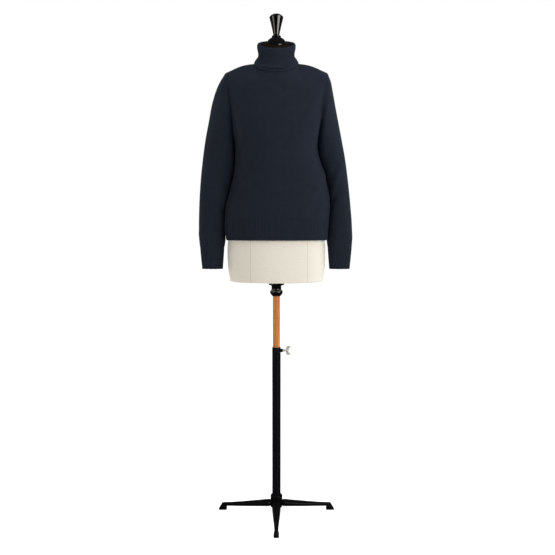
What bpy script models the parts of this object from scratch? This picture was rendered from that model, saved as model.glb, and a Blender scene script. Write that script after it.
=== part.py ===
"""Turtleneck sweater on a limbless dress form, standing on a four-legged cast base.

Metres, +Z up. The front of the sweater faces -Y. Left and right are the wearer's, so the
right sleeve lies at -X. The origin is on the floor, on the axis of the pole.
"""
from collections import namedtuple
from math import cos, pi, radians, sin

import bmesh
import bpy
import numpy as np
from mathutils import Matrix

# Driving dimensions
WALL = 0.003               # knitted wall
GAP = 0.0003               # gap between touching pieces
REST_GAP = 0.0005          # between the cloth and the form that carries it
RIB_RAISE = 0.0011         # how far a rib stands above the valley beside it
RIB_PITCH = 0.0076         # one rib of two stitches and its valley of two
COLUMNS = 24               # columns of faces across the front, and across the back
MIDDLE = COLUMNS // 2
NECK_COLUMNS = 6           # columns from the middle to the corner of neck and shoulder
NECK_SHARE = NECK_COLUMNS / MIDDLE
ROUND_STEPS = 24           # sides of the turned pieces
TUBE_RADIUS = 0.0145
TUBE_BORE = 0.0123
TUBE_TOP_Z = 0.590
TUBE_FOOT_Z = 0.0150
ROD_RADIUS = 0.0120
ROD_FOOT_Z = 0.300
ROD_TOP_Z = 0.8117
CLAMP_Z = 0.578            # height of the screw that clamps the rod
HUB_RADIUS = 0.0216
HUB_TOP_Z = 0.0528
HUB_FOOT_Z = 0.0101
LEG_REACH = 0.208          # from the pole's axis to a foot's end
LEG_EDGE = 0.0022          # rounding of a leg's top edges

# The neck seam is an ellipse in a plane that rises towards the back
NECK_HALF = 0.0735
NECK_CENTRE_Y = -0.013
NECK_DEPTH = 0.069
NECK_SIDE_Z = 1.559
NECK_RISE = 0.62
SEAM_ANGLE = 75.7          # where the shoulder seam meets the neck seam, from the front

# A row runs across a panel: its middle, its edges, and how far it turns to the side
Row = namedtuple("Row", "z_mid z_edge right left y_mid y_edge turn full")
HEM_ROWS = [
    Row(0.967, 0.967, 0.1735, 0.1775, -0.1190, 0.0, 90, 0.86),
    Row(1.005, 1.005, 0.1790, 0.1790, -0.1220, 0.0, 90, 0.86),
    Row(1.045, 1.045, 0.1780, 0.1820, -0.1235, 0.0, 90, 0.86),
]
FRONT_ROWS = [
    Row(1.045, 1.045, 0.1780, 0.1820, -0.1235, 0.0, 90, 0.86),
    Row(1.077, 1.077, 0.1755, 0.1855, -0.1245, 0.0, 90, 0.86),
    Row(1.107, 1.107, 0.1680, 0.1845, -0.1250, 0.0, 90, 0.86),
    Row(1.134, 1.134, 0.1610, 0.1800, -0.1260, 0.0, 90, 0.86),
    Row(1.160, 1.160, 0.1550, 0.1740, -0.1275, 0.0, 90, 0.86),
    Row(1.183, 1.183, 0.1497, 0.1670, -0.1295, 0.0, 90, 0.85),
    Row(1.210, 1.210, 0.1450, 0.1580, -0.1325, 0.0, 90, 0.84),
    Row(1.234, 1.234, 0.1420, 0.1500, -0.1350, 0.0, 90, 0.83),
    Row(1.260, 1.260, 0.1415, 0.1440, -0.1375, 0.0, 90, 0.82),
    Row(1.285, 1.285, 0.1420, 0.1415, -0.1395, 0.0, 90, 0.80),
    Row(1.322, 1.318, 0.1445, 0.1430, -0.1390, -0.040, 84, 0.80),
    Row(1.365, 1.362, 0.1490, 0.1480, -0.1315, -0.056, 76, 0.82),
    Row(1.410, 1.412, 0.1530, 0.1525, -0.1190, -0.060, 66, 0.86),
    Row(1.450, 1.456, 0.1590, 0.1585, -0.1065, -0.055, 58, 0.90),
    Row(1.478, 1.492, 0.1655, 0.1650, -0.0985, -0.045, 50, 0.95),
]
BACK_ROWS = [
    Row(1.045, 1.045, 0.1780, 0.1820, 0.1290, 0.0, 90, 0.90),
    Row(1.077, 1.077, 0.1755, 0.1855, 0.1270, 0.0, 90, 0.90),
    Row(1.107, 1.107, 0.1680, 0.1845, 0.1220, 0.0, 90, 0.90),
    Row(1.134, 1.134, 0.1610, 0.1800, 0.1160, 0.0, 90, 0.90),
    Row(1.160, 1.160, 0.1550, 0.1740, 0.1110, 0.0, 90, 0.90),
    Row(1.183, 1.183, 0.1497, 0.1670, 0.1075, 0.0, 90, 0.90),
    Row(1.210, 1.210, 0.1450, 0.1580, 0.1050, 0.0, 90, 0.90),
    Row(1.234, 1.234, 0.1420, 0.1500, 0.1045, 0.0, 90, 0.90),
    Row(1.260, 1.260, 0.1415, 0.1440, 0.1055, 0.0, 90, 0.90),
    Row(1.285, 1.285, 0.1420, 0.1415, 0.1070, 0.0, 90, 0.90),
    Row(1.325, 1.318, 0.1445, 0.1430, 0.1095, 0.040, 84, 0.88),
    Row(1.370, 1.362, 0.1490, 0.1480, 0.1115, 0.056, 76, 0.86),
    Row(1.420, 1.412, 0.1530, 0.1525, 0.1115, 0.061, 66, 0.86),
    Row(1.470, 1.456, 0.1590, 0.1585, 0.1065, 0.058, 58, 0.90),
]
HEM_BACK_ROWS = [
    Row(0.967, 0.967, 0.1735, 0.1775, 0.1250, 0.0, 90, 0.90),
    Row(1.005, 1.005, 0.1790, 0.1790, 0.1290, 0.0, 90, 0.90),
    Row(1.045, 1.045, 0.1780, 0.1820, 0.1290, 0.0, 90, 0.90),
]
# A yoke row runs from one armhole along the shoulder, round the neck and out again. Its neck
# part is an ellipse that the shoulder leaves at the angle of corner
Yoke = namedtuple("Yoke", "half centre_y depth side_z rise corner tip_x tip_y tip_z arch")
SEAM_YOKE = Yoke(NECK_HALF, NECK_CENTRE_Y, NECK_DEPTH, NECK_SIDE_Z, NECK_RISE,
                 SEAM_ANGLE, 0.1740, -0.0160, 1.5275, 0.0035)
FRONT_YOKES = [
    Yoke(0.0830, -0.013, 0.0790, 1.5440, 0.62, 62, 0.1715, -0.0340, 1.5130, 0.0030),
    SEAM_YOKE,
]
BACK_YOKES = [
    Yoke(0.0920, -0.005, 0.0970, 1.5480, -0.15, 60, 0.1710, 0.0340, 1.5160, 0.0040),
    Yoke(0.0775, -0.013, 0.0790, 1.5635, 0.31, 77.6, 0.1750, 0.0040, 1.5370, 0.0060),
    SEAM_YOKE._replace(corner=180 - SEAM_ANGLE),
]
UNDERARM = 9               # the row where the armholes begin
TOP = len(FRONT_ROWS) + len(FRONT_YOKES) - 1

# A soft ridge (depth above 0) or trough across a panel, seen from the front
Fold = namedtuple("Fold", "x z lean reach width depth")
FRONT_FOLDS = [
    Fold(0.1300, 1.300, 8, 0.070, 0.016, 0.0030),
    Fold(0.1580, 1.190, 20, 0.080, 0.016, 0.0040),
    Fold(0.1350, 1.085, 24, 0.055, 0.022, -0.0050),
    Fold(-0.1330, 1.120, -18, 0.070, 0.020, -0.0040),
    Fold(-0.1250, 1.220, 30, 0.045, 0.018, -0.0030),
]
BACK_FOLDS = [
    Fold(0.1100, 1.200, -35, 0.060, 0.020, -0.0040),
    Fold(-0.1050, 1.150, 30, 0.070, 0.022, -0.0040),
    Fold(-0.0300, 1.120, 75, 0.060, 0.018, -0.0030),
]

# A sleeve's section: its outer and inner points from the front, its depth before and behind
Ring = namedtuple("Ring", "outer_x outer_z inner_x inner_z front back")
SLEEVES = {
    "sleeve_right": [
        Ring(0.1795, 1.5270, 0.1455, 1.2740, 0.060, 0.060),
        Ring(0.1900, 1.5140, 0.1465, 1.2580, 0.060, 0.060),
        Ring(0.2040, 1.4860, 0.1475, 1.2380, 0.060, 0.058),
        Ring(0.2180, 1.4340, 0.1500, 1.2100, 0.057, 0.055),
        Ring(0.2310, 1.3700, 0.1560, 1.1750, 0.052, 0.052),
        Ring(0.2430, 1.3100, 0.1645, 1.1400, 0.048, 0.050),
        Ring(0.2520, 1.2500, 0.1720, 1.1080, 0.045, 0.048),
        Ring(0.2610, 1.1700, 0.1790, 1.0680, 0.041, 0.045),
        Ring(0.2665, 1.0900, 0.1820, 1.0270, 0.038, 0.041),
        Ring(0.2688, 1.0150, 0.1830, 0.9850, 0.034, 0.036),
        Ring(0.2675, 0.9600, 0.1825, 0.9530, 0.031, 0.033),
        Ring(0.2650, 0.9390, 0.1830, 0.9390, 0.030, 0.031),
    ],
    "sleeve_left": [
        Ring(0.1785, 1.5260, 0.1455, 1.2740, 0.060, 0.060),
        Ring(0.1850, 1.5080, 0.1500, 1.2620, 0.060, 0.060),
        Ring(0.1915, 1.4720, 0.1570, 1.2480, 0.059, 0.058),
        Ring(0.2010, 1.4220, 0.1660, 1.2270, 0.056, 0.056),
        Ring(0.2130, 1.3620, 0.1750, 1.1980, 0.052, 0.054),
        Ring(0.2250, 1.3020, 0.1815, 1.1620, 0.048, 0.052),
        Ring(0.2355, 1.2480, 0.1865, 1.1250, 0.045, 0.050),
        Ring(0.2455, 1.1780, 0.1898, 1.0820, 0.041, 0.047),
        Ring(0.2550, 1.0950, 0.1890, 1.0350, 0.038, 0.043),
        Ring(0.2618, 1.0150, 0.1852, 0.9870, 0.034, 0.038),
        Ring(0.2630, 0.9600, 0.1810, 0.9540, 0.031, 0.034),
        Ring(0.2615, 0.9390, 0.1785, 0.9390, 0.030, 0.031),
    ],
}
CUFF_BOTTOMS = {
    "cuff_right": Ring(0.2585, 0.8670, 0.1870, 0.8670, 0.022, 0.023),
    "cuff_left": Ring(0.2550, 0.8670, 0.1845, 0.8670, 0.022, 0.023),
}
TURN_STEP = 0.0016         # first step of a sleeve off its armhole
# A ridge or trough across a sleeve: its place down it, its angle from the outside over the
# front, how it slants, and its width along the sleeve and spread round it
Crease = namedtuple("Crease", "place angle slant width spread depth")
SLEEVE_FOLDS = {
    "sleeve_right": [
        Crease(0.44, 130, 0.03, 0.045, 60, -0.0035),
        Crease(0.55, 110, -0.03, 0.050, 55, 0.0025),
        Crease(0.66, 135, 0.04, 0.045, 60, -0.0030),
        Crease(0.55, 250, 0.03, 0.050, 60, -0.0030),
    ],
    "sleeve_left": [
        Crease(0.42, 120, -0.03, 0.050, 60, -0.0030),
        Crease(0.60, 130, 0.04, 0.050, 60, -0.0035),
        Crease(0.52, 245, -0.03, 0.050, 60, -0.0030),
    ],
}

# Loops round the neck, each with its half width, front and back, and their heights. The
# collar's loops follow its cloth from the neck seam up, over the roll, down outside and back
NeckLoop = namedtuple("NeckLoop", "half front_y back_y side_z front_z back_z rib")
COLLAR_RIBS = 47


def seam_loop(inset):
    """The neck seam's ellipse, drawn in by a distance in its own plane."""
    flat = (1 + NECK_RISE ** 2) ** 0.5
    depth = NECK_DEPTH - inset / flat
    rise = NECK_RISE * depth
    return NeckLoop(NECK_HALF - inset, NECK_CENTRE_Y - depth, NECK_CENTRE_Y + depth,
                    NECK_SIDE_Z, NECK_SIDE_Z - rise, NECK_SIDE_Z + rise, 0)


COLLAR_LOOPS = [
    seam_loop(0.0008),
    NeckLoop(0.0586, -0.0612, 0.0494, 1.6000, 1.5600, 1.6230, 0),
    NeckLoop(0.0592, -0.0612, 0.0500, 1.6290, 1.5880, 1.6410, 0),
    NeckLoop(0.0596, -0.0622, 0.0506, 1.6010, 1.5605, 1.6230, 0),
    NeckLoop(0.0645, -0.0674, 0.0572, 1.5832, 1.5425, 1.6010, 0),
    NeckLoop(0.0742, -0.0767, 0.0722, 1.5732, 1.5268, 1.5885, 0),
    NeckLoop(0.0768, -0.0793, 0.0748, 1.5742, 1.5275, 1.5895, 1),
    NeckLoop(0.0674, -0.0702, 0.0602, 1.5838, 1.5428, 1.6015, 1),
    NeckLoop(0.0624, -0.0650, 0.0534, 1.6010, 1.5605, 1.6230, 1),
    NeckLoop(0.0655, -0.0662, 0.0546, 1.6300, 1.5893, 1.6420, 1),
    NeckLoop(0.0608, -0.0610, 0.0505, 1.6410, 1.6000, 1.6530, 0),
    NeckLoop(0.0556, -0.0560, 0.0465, 1.6250, 1.5850, 1.6380, 0),
    seam_loop(WALL),
]

# The form: its hips and waist below the underarm; above it, it lies under the sweater
FormRow = namedtuple("FormRow", "z half front back")
FORM_ROWS = [
    FormRow(0.8240, 0.1570, 0.1030, 0.1080),
    FormRow(0.8290, 0.1615, 0.1075, 0.1125),
    FormRow(0.8620, 0.1680, 0.1120, 0.1175),
    FormRow(0.9000, 0.1706, 0.1132, 0.1190),
    FormRow(0.9450, 0.1706, 0.1125, 0.1185),
    FormRow(0.9900, 0.1660, 0.1095, 0.1140),
    FormRow(1.0400, 0.1545, 0.1050, 0.1050),
    FormRow(1.0900, 0.1370, 0.0985, 0.0930),
    FormRow(1.1400, 0.1240, 0.0945, 0.0860),
    FormRow(1.1850, 0.1225, 0.0975, 0.0840),
    FormRow(1.2350, 0.1300, 0.1100, 0.0890),
]
FORM_FULL = {-1: 0.86, 1: 0.90}
SIDE_STEPS = 3             # steps across the form's side between the two armhole edges
SIDE_BULGE = 0.6           # how far that side swells: this times its width squared
NECK_CLEAR = 0.0012        # more room between the form and the cloth at the neck seam
NECK_CAP_PLANE_Z = 1.6265  # the neck's top slopes down to the front
NECK_CAP_RISE = 0.5
FORM_NECK = [
    NeckLoop(0.0600, -0.0650, 0.0440, 1.5720, 1.5360, 1.6060, 0),
    NeckLoop(0.0545, -0.0570, 0.0430, 1.5950, 1.5610, 1.6200, 0),
    NeckLoop(0.0530, -0.0535, 0.0435, 1.6120, 1.5830, 1.6340, 0),
]
# The rims of the neck's sloping top: the outer one lies a little below the inner one
Rim = namedtuple("Rim", "half centre_y depth below")
NECK_TOP = [Rim(0.0515, -0.004, 0.0470, 0.0045), Rim(0.0365, 0.0, 0.0365, 0.0)]

# Turned pieces, as radius and height from the top down the outside
FINIAL_PROFILE = [
    (0.0000, 1.7280), (0.0105, 1.7272), (0.0185, 1.7238), (0.0228, 1.7188), (0.0236, 1.7145),
    (0.0218, 1.7060), (0.0180, 1.6940), (0.0145, 1.6800), (0.0118, 1.6670), (0.0106, 1.6595),
    (0.0122, 1.6572), (0.0156, 1.6550), (0.0160, 1.6528), (0.0146, 1.6506), (0.0000, 1.6503),
]
CAP_PROFILE = [
    (0.0000, 1.6500), (0.0120, 1.6497), (0.0212, 1.6468), (0.0280, 1.6415), (0.0325, 1.6345),
    (0.0350, 1.6250), (0.0355, 1.6120), (0.0355, 1.5950), (0.0000, 1.5950),
]
BOSS_PROFILE = [
    (0.0000, 0.8237), (0.0262, 0.8237), (0.0270, 0.8225), (0.0270, 0.8095), (0.0255, 0.8078),
    (0.0195, 0.8040), (0.0182, 0.7985), (0.0203, 0.7915), (0.0224, 0.7838), (0.0210, 0.7765),
    (0.0160, 0.7718), (0.0130, 0.7705), (0.0123, 0.7710), (0.0123, 0.8120), (0.0000, 0.8120),
]
TUBE_PROFILE = [
    (TUBE_BORE, TUBE_TOP_Z), (TUBE_RADIUS - 0.0008, TUBE_TOP_Z),
    (TUBE_RADIUS, TUBE_TOP_Z - 0.0008), (TUBE_RADIUS, TUBE_FOOT_Z), (TUBE_BORE, TUBE_FOOT_Z),
]
HUB_PROFILE = [
    (TUBE_RADIUS + GAP, HUB_TOP_Z), (HUB_RADIUS - 0.0012, HUB_TOP_Z),
    (HUB_RADIUS, HUB_TOP_Z - 0.0012), (HUB_RADIUS, HUB_FOOT_Z), (0.0, HUB_FOOT_Z),
    (0.0, TUBE_FOOT_Z - GAP), (TUBE_RADIUS + GAP, TUBE_FOOT_Z - GAP),
]

# The clamp on the tube: a boss, a screw along X and the wings that turn it
CLAMP_BOSS_RADIUS = 0.0065
CLAMP_BOSS_END = 0.0226
SCREW_RADIUS = 0.0025
SCREW_HOLE = 0.0029
SCREW_PROFILE = [
    (0.0000, 0.0380), (0.0045, 0.0380), (0.0055, 0.0370), (0.0055, 0.0340), (0.0045, 0.0330),
    (SCREW_RADIUS, 0.0326), (SCREW_RADIUS, 0.0128), (0.0018, 0.0124), (0.0000, 0.0124),
]
WING_SIZE = (0.0165, 0.0042, 0.0310)
WING_CENTRE_X = 0.0440

# A leg's sections outward from the hub: half its width, its underside and its top
LegStep = namedtuple("LegStep", "reach half low top")
LEG_STEPS = [
    LegStep(0.0219, 0.0168, 0.0101, 0.0345),
    LegStep(0.0400, 0.0160, 0.0101, 0.0305),
    LegStep(0.0640, 0.0149, 0.0101, 0.0290),
    LegStep(0.1000, 0.0127, 0.0101, 0.0271),
    LegStep(0.1360, 0.0098, 0.0101, 0.0261),
    LegStep(0.1760, 0.0070, 0.0101, 0.0260),
    LegStep(0.1800, 0.0082, 0.0000, 0.0260),
    LegStep(0.1960, 0.0092, 0.0000, 0.0253),
    LegStep(0.2040, 0.0090, 0.0000, 0.0120),
    LegStep(LEG_REACH, 0.0080, 0.0000, 0.0050),
]


def across(row, s):
    """Points of a row for s from -1 at the wearer's right edge to 1 at the left."""
    turn = radians(row.turn)
    side = np.sin(s * turn) / sin(turn)
    front = (np.cos(s * turn) - cos(turn)) / (1 - cos(turn))
    x = np.where(s < 0, row.right, row.left) * side
    y = row.y_edge + (row.y_mid - row.y_edge) * np.clip(front, 0, 1) ** row.full
    z = row.z_mid + (row.z_edge - row.z_mid) * side ** 2
    return np.stack([x, y, z], axis=-1)


def along_yoke(yoke, s, facing):
    """Points of a yoke row; facing is -1 on the front and 1 on the back."""
    angle = radians(yoke.corner) * np.clip(s / NECK_SHARE, -1, 1)
    y = yoke.centre_y + facing * yoke.depth * np.cos(angle)
    neck = np.stack([yoke.half * np.sin(angle), y,
                     yoke.side_z + yoke.rise * (y - yoke.centre_y)], axis=-1)
    out = np.clip((np.abs(s) - NECK_SHARE) / (1 - NECK_SHARE), 0, 1)[:, None]
    tip = np.stack([np.sign(s) * yoke.tip_x, np.full_like(s, yoke.tip_y),
                    np.full_like(s, yoke.tip_z)], axis=-1)
    points = neck * (1 - out) + tip * out
    points[:, 2] += yoke.arch * np.sin(pi * out[:, 0])
    return points


def unit(vectors):
    length = np.linalg.norm(vectors, axis=-1, keepdims=True)
    return vectors / np.maximum(length, 1e-9)


def grid_normals(points, around=False):
    """Outward normals of a grid of points, with rows going up and columns going round."""
    if around:
        padded = np.concatenate([points[:, -1:], points, points[:, :1]], axis=1)
        along = (padded[:, 2:] - padded[:, :-2])
    else:
        along = np.gradient(points, axis=1)
    up = np.gradient(points, axis=0)
    return unit(np.cross(along, up))


def panel(facing):
    """Outer points and outward normals of the front (facing -1) or the back (facing 1)."""
    rows, yokes = (FRONT_ROWS, FRONT_YOKES) if facing < 0 else (BACK_ROWS, BACK_YOKES)
    s = np.linspace(facing, -facing, COLUMNS + 1)
    lines = [across(row, s) for row in rows]
    lines += [along_yoke(yoke, s, facing) for yoke in yokes]
    points = np.stack(lines)
    normals = grid_normals(points)
    normals[0, :, 2] = 0
    return points, unit(normals)


def share_edges(front, back):
    """Give both panels the same normals along the side seams and the shoulder seams."""
    seam = [(row, column) for row in range(UNDERARM + 1) for column in (0, COLUMNS)]
    seam += [(TOP, column) for column in range(COLUMNS + 1) if abs(column - MIDDLE) > NECK_COLUMNS]
    for row, column in seam:
        both = unit(front[row, column] + back[row, COLUMNS - column])
        front[row, column] = both
        back[row, COLUMNS - column] = both


def neck_normals(points, normals):
    """Lay the edge at the neck seam flat in the seam's plane."""
    neck = slice(MIDDLE - NECK_COLUMNS, MIDDLE + NECK_COLUMNS + 1)
    centre = np.array([0.0, NECK_CENTRE_Y, NECK_SIDE_Z])
    normals[TOP, neck] = unit(points[TOP, neck] - centre)


def press_folds(points, normals, folds):
    """A panel with soft ridges and troughs, each a bell across a slanting line."""
    height = np.zeros(points.shape[:2])
    for fold in folds:
        along = np.array([sin(radians(fold.lean)), cos(radians(fold.lean))])
        offset = points[..., [0, 2]] - np.array([fold.x, fold.z])
        run = offset @ along
        off = offset @ np.array([along[1], -along[0]])
        bell = np.exp(-(run / fold.reach) ** 2 - (off / fold.width) ** 2)
        height += fold.depth * bell
    height[0] = 0
    return points + normals * height[..., None]


def seam_allowance(points, other):
    """Half a gap, from an edge of points towards the points beside it."""
    return unit(other - points) * GAP / 2


def cloth_panel(points, normals):
    """Front or back as outer and inner points, drawn back half a gap at its seams."""
    inner = points - WALL * normals
    outer = points.copy()
    low = slice(0, UNDERARM + 1)
    for edge, beside in ((0, 1), (COLUMNS, COLUMNS - 1)):
        shift = seam_allowance(points[low, edge], points[low, beside])
        outer[low, edge] += shift
        inner[low, edge] += shift
    for column in range(COLUMNS + 1):
        if abs(column - MIDDLE) >= NECK_COLUMNS:
            shift = seam_allowance(points[TOP, column], points[TOP - 1, column])
            outer[TOP, column] += shift
            inner[TOP, column] += shift
    return outer, inner


def triangles(rows, columns, around, start=0, flips=None):
    """Two triangles for each cell of a grid, split the mirrored way right of its middle."""
    faces = []
    width = columns if around else columns - 1
    flips = flips or [j >= width / 2 for j in range(width)]
    for i in range(rows - 1):
        for j in range(width):
            a = start + i * columns + j
            b = start + i * columns + (j + 1) % columns
            c, d = b + columns, a + columns
            if flips[j]:
                faces += [(a, b, d), (b, c, d)]
            else:
                faces += [(a, b, c), (a, c, d)]
    return faces


def band(inner, outer, flips):
    """Triangles across a wall's edge; a flip swaps the diagonal, so that two edges match."""
    faces = []
    for k in range(len(inner) - 1):
        a, b, c, d = inner[k], inner[k + 1], outer[k + 1], outer[k]
        faces += [(a, b, d), (b, c, d)] if flips[k] else [(a, b, c), (a, c, d)]
    return faces


def paired_band(inner, outer):
    """The edge of a sleeve at its armhole, split as the panel cells beside it are."""
    faces = []
    for k in range(0, len(inner) - 1, 2):
        a, m, b = inner[k:k + 3]
        d, n, c = outer[k:k + 3]
        if k < (len(inner) - 1) / 2:
            faces += [(a, m, c), (m, b, c), (a, c, n), (a, n, d)]
        else:
            faces += [(a, m, d), (m, b, d), (b, c, n), (b, n, d)]
    return faces


def wall_object(name, outer, inner, material, around=False, paired=False):
    """A cloth wall between two grids of points, closed along every edge."""
    rows, columns = outer.shape[:2]
    count = rows * columns
    points = np.concatenate([outer.reshape(-1, 3), inner.reshape(-1, 3)])
    faces = triangles(rows, columns, around)
    faces += [(c, b, a) for a, b, c in triangles(rows, columns, around, count)]
    ring = list(range(columns)) + ([0] if around else [])
    mirrored = [k >= (len(ring) - 1) / 2 for k in range(len(ring) - 1)]
    for row in (0, rows - 1):
        edge = [row * columns + j for j in ring]
        edge = edge if row == 0 else edge[::-1]
        inside = [count + v for v in edge]
        if paired and row == 0:
            faces += paired_band(inside, edge)
        else:
            faces += band(inside, edge, mirrored)
    if not around:
        for column in (0, columns - 1):
            edge = [i * columns + column for i in range(rows)]
            edge = edge[::-1] if column == 0 else edge
            faces += band([count + v for v in edge], edge, [column > 0] * rows)
    return mesh_object(name, points, faces, material)


def mesh_object(name, points, faces, material):
    mesh = bpy.data.meshes.new(name)
    shape = bmesh.new()
    vertices = [shape.verts.new(point) for point in points]
    for face in faces:
        corners = [vertices[v] for v in face]
        if len(set(corners)) == len(corners):
            shape.faces.new(corners)
    bmesh.ops.remove_doubles(shape, verts=shape.verts, dist=0.00002)
    bmesh.ops.recalc_face_normals(shape, faces=shape.faces)
    shape.to_mesh(mesh)
    shape.free()
    mesh.shade_smooth()
    mesh.set_sharp_from_angle(angle=radians(50))
    return finish_object(name, mesh, material)


def finish_object(name, mesh, material):
    thing = bpy.data.objects.new(name, mesh)
    mesh.materials.append(material)
    parts.objects.link(thing)
    return thing


def even_steps(line, count):
    """Fractional places along a line of points that lie an equal distance apart."""
    run = np.concatenate([[0], np.cumsum(np.linalg.norm(np.diff(line, axis=0), axis=1))])
    return np.interp(np.linspace(0, run[-1], count + 1), run, np.linspace(0, 1, len(line)))


def rib_wave(count):
    """1 on a rib and -1 in a valley, from one edge of a band to the other."""
    return np.where(np.arange(count) % 2 == 0, 1.0, -1.0)


def hem_band(name, facing, rows):
    """A rib band below the front or the back, with every rib raised on its outside."""
    s_fine = np.linspace(facing, -facing, 400)
    girth = np.linalg.norm(np.diff(across(rows[-1], s_fine), axis=0), axis=1).sum()
    count = 2 * round(girth / RIB_PITCH)
    s = facing * (1 - 2 * even_steps(across(rows[-1], s_fine), count))
    points = np.stack([across(row, s) for row in (rows[0], rows[-1])])
    points[-1, :, 2] -= GAP
    normals = grid_normals(points)
    normals[..., 2] = 0
    normals[:, [0, -1], 1] = 0
    normals = unit(normals)
    outer = points + normals * (RIB_RAISE / 2 * rib_wave(count + 1))[None, :, None]
    inner = points - normals * WALL
    for edge, beside in ((0, 1), (-1, -2)):
        shift = seam_allowance(points[:, edge], points[:, beside])
        outer[:, edge] += shift
        inner[:, edge] += shift
    return wall_object(name, outer, inner, navy)


def armhole(side, front, back):
    """The loop round one armhole: from the shoulder down the front, then up the back."""
    near, far = (0, COLUMNS) if side < 0 else (COLUMNS, 0)
    down = front[TOP:UNDERARM - 1:-1, near]
    up = back[UNDERARM + 1:TOP, far]
    return np.concatenate([down, up])


def halve(loop):
    """A closed loop with a point added in the middle of each side."""
    middle = (loop + np.roll(loop, -1, axis=0)) / 2
    return np.stack([loop, middle], axis=1).reshape(-1, 3)


def loop_angles(loop):
    """Angles round a sleeve for the points of its armhole, by distance along each half."""
    lengths = np.linalg.norm(np.roll(loop, -1, axis=0) - loop, axis=1)
    run = np.concatenate([[0], np.cumsum(lengths)])
    half = len(loop) // 2
    return np.concatenate([pi * run[:half] / run[half],
                           pi + pi * (run[half:-1] - run[half]) / (run[-1] - run[half])])


def sleeve_ring(ring, side, angles):
    """One section of a sleeve, from its outer point round its front to its inner point."""
    outer = np.array([side * ring.outer_x, 0, ring.outer_z])
    inner = np.array([side * ring.inner_x, 0, ring.inner_z])
    depth = np.where(np.sin(angles) > 0, ring.front, ring.back)
    points = (outer + inner) / 2 + np.cos(angles)[:, None] * (outer - inner) / 2
    points[:, 1] -= depth * np.sin(angles)
    return points


def outward(points, normals):
    """Turn a tube's normals so that they point away from its middle."""
    middle = points.mean(axis=1, keepdims=True)
    return normals if ((points - middle) * normals).sum() > 0 else -normals


def sleeve(name, side, front, back, front_normals, back_normals):
    rim = halve(armhole(side, front, back))
    rim_normals = unit(halve(armhole(side, front_normals, back_normals)))
    angles = loop_angles(rim)
    tangent = unit(np.roll(rim, -1, axis=0) - np.roll(rim, 1, axis=0))
    away = unit(np.cross(tangent, rim_normals))
    if away[0, 0] * side < 0:
        away = -away
    rings = np.stack([sleeve_ring(ring, side, angles) for ring in SLEEVES[name]])
    normals = outward(rings, grid_normals(rings, around=True))
    press_sleeve_folds(rings, normals, angles, SLEEVE_FOLDS[name])
    facing = (rim_normals * normals[0]).sum(axis=1)[:, None]
    turn_normals = unit(rim_normals + normals[0] - away * (1 - facing))
    turn = rim + away * (GAP + TURN_STEP) + rim_normals * TURN_STEP * (1 - facing) / 2
    normals[-1, :, 2] = 0
    normals[-1] = unit(normals[-1])
    rings[-1, :, 2] += GAP / 2
    points = np.concatenate([[rim + away * GAP], [turn], rings])
    normals = np.concatenate([[rim_normals], [turn_normals], normals])
    inner = points - WALL * normals
    return wall_object(name, points, inner, navy, around=True, paired=True)


def press_sleeve_folds(rings, normals, angles, folds):
    """Soft troughs and ridges across a sleeve, each at a place down it and an angle round it."""
    place = np.linspace(0, 1, len(rings))[:, None]
    for fold in folds:
        off = np.angle(np.exp(1j * (angles[None, :] - radians(fold.angle))))
        run = place - fold.place - fold.slant * off
        bell = np.exp(-(run / fold.width) ** 2 - (off / radians(fold.spread)) ** 2)
        rings += normals * (fold.depth * bell)[..., None]


def cuff(name, side, top, bottom):
    """A ribbed tube below a sleeve."""
    angles = np.linspace(0, 2 * pi, 400)
    loop = sleeve_ring(top, side, angles)
    girth = np.linalg.norm(np.diff(loop, axis=0), axis=1).sum()
    count = 2 * round(girth / RIB_PITCH)
    angles = 2 * pi * even_steps(loop, count)[:-1]
    points = np.stack([sleeve_ring(bottom, side, angles), sleeve_ring(top, side, angles)])
    points[-1, :, 2] -= GAP / 2
    normals = outward(points, grid_normals(points, around=True))
    normals[..., 2] = 0
    normals = unit(normals)
    outer = points + normals * (RIB_RAISE / 2 * rib_wave(count))[None, :, None]
    return wall_object(name, outer, points - normals * WALL, navy, around=True)


def neck_loop(loop, angles):
    """A loop round the neck; its angles start at the front and grow towards the left."""
    middle = (loop.front_y + loop.back_y) / 2
    reach = (loop.back_y - loop.front_y) / 2
    ahead = np.cos(angles)
    x = loop.half * np.sin(angles)
    y = middle - reach * ahead
    rise = np.where(ahead > 0, loop.front_z - loop.side_z, loop.side_z - loop.back_z)
    return np.stack([x, y, loop.side_z + rise * ahead], axis=-1)


def collar():
    """The turtleneck: a rib tube that stands up, rolls over and hangs back down outside."""
    count = 2 * COLLAR_RIBS
    angles = np.linspace(0, 2 * pi, count, endpoint=False)
    loops = np.stack([neck_loop(loop, angles) for loop in COLLAR_LOOPS])
    lift = unit(np.array([0, -NECK_RISE, 1.0])) * GAP
    loops[[0, -1]] += lift
    middle = loops.mean(axis=1, keepdims=True)
    out = loops - middle
    out[..., 2] = 0
    ribbed = np.array([loop.rib for loop in COLLAR_LOOPS])[:, None, None]
    loops += unit(out) * RIB_RAISE / 2 * ribbed * rib_wave(count)[None, :, None]
    rows = len(COLLAR_LOOPS)
    closed = np.concatenate([loops, loops[:1]])
    return mesh_object("collar", closed.reshape(-1, 3), triangles(rows + 1, count, True), navy)


def form_ring(front, back):
    """One ring of the form: its front line, a side, its back line and the other side."""
    lines = [front, form_side(front[-1], back[0]), back, form_side(back[-1], front[0])]
    return np.concatenate(lines)


def form_side(start, end):
    """Points across the form's side, where its arm would be, swollen a little outwards."""
    share = np.arange(1, SIDE_STEPS)[:, None] / SIDE_STEPS
    points = start * (1 - share) + end * share
    swell = SIDE_BULGE * (start[1] - end[1]) ** 2 * 4 * (share * (1 - share))[:, 0]
    points[:, 0] += np.sign(start[0]) * swell
    return points


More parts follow.
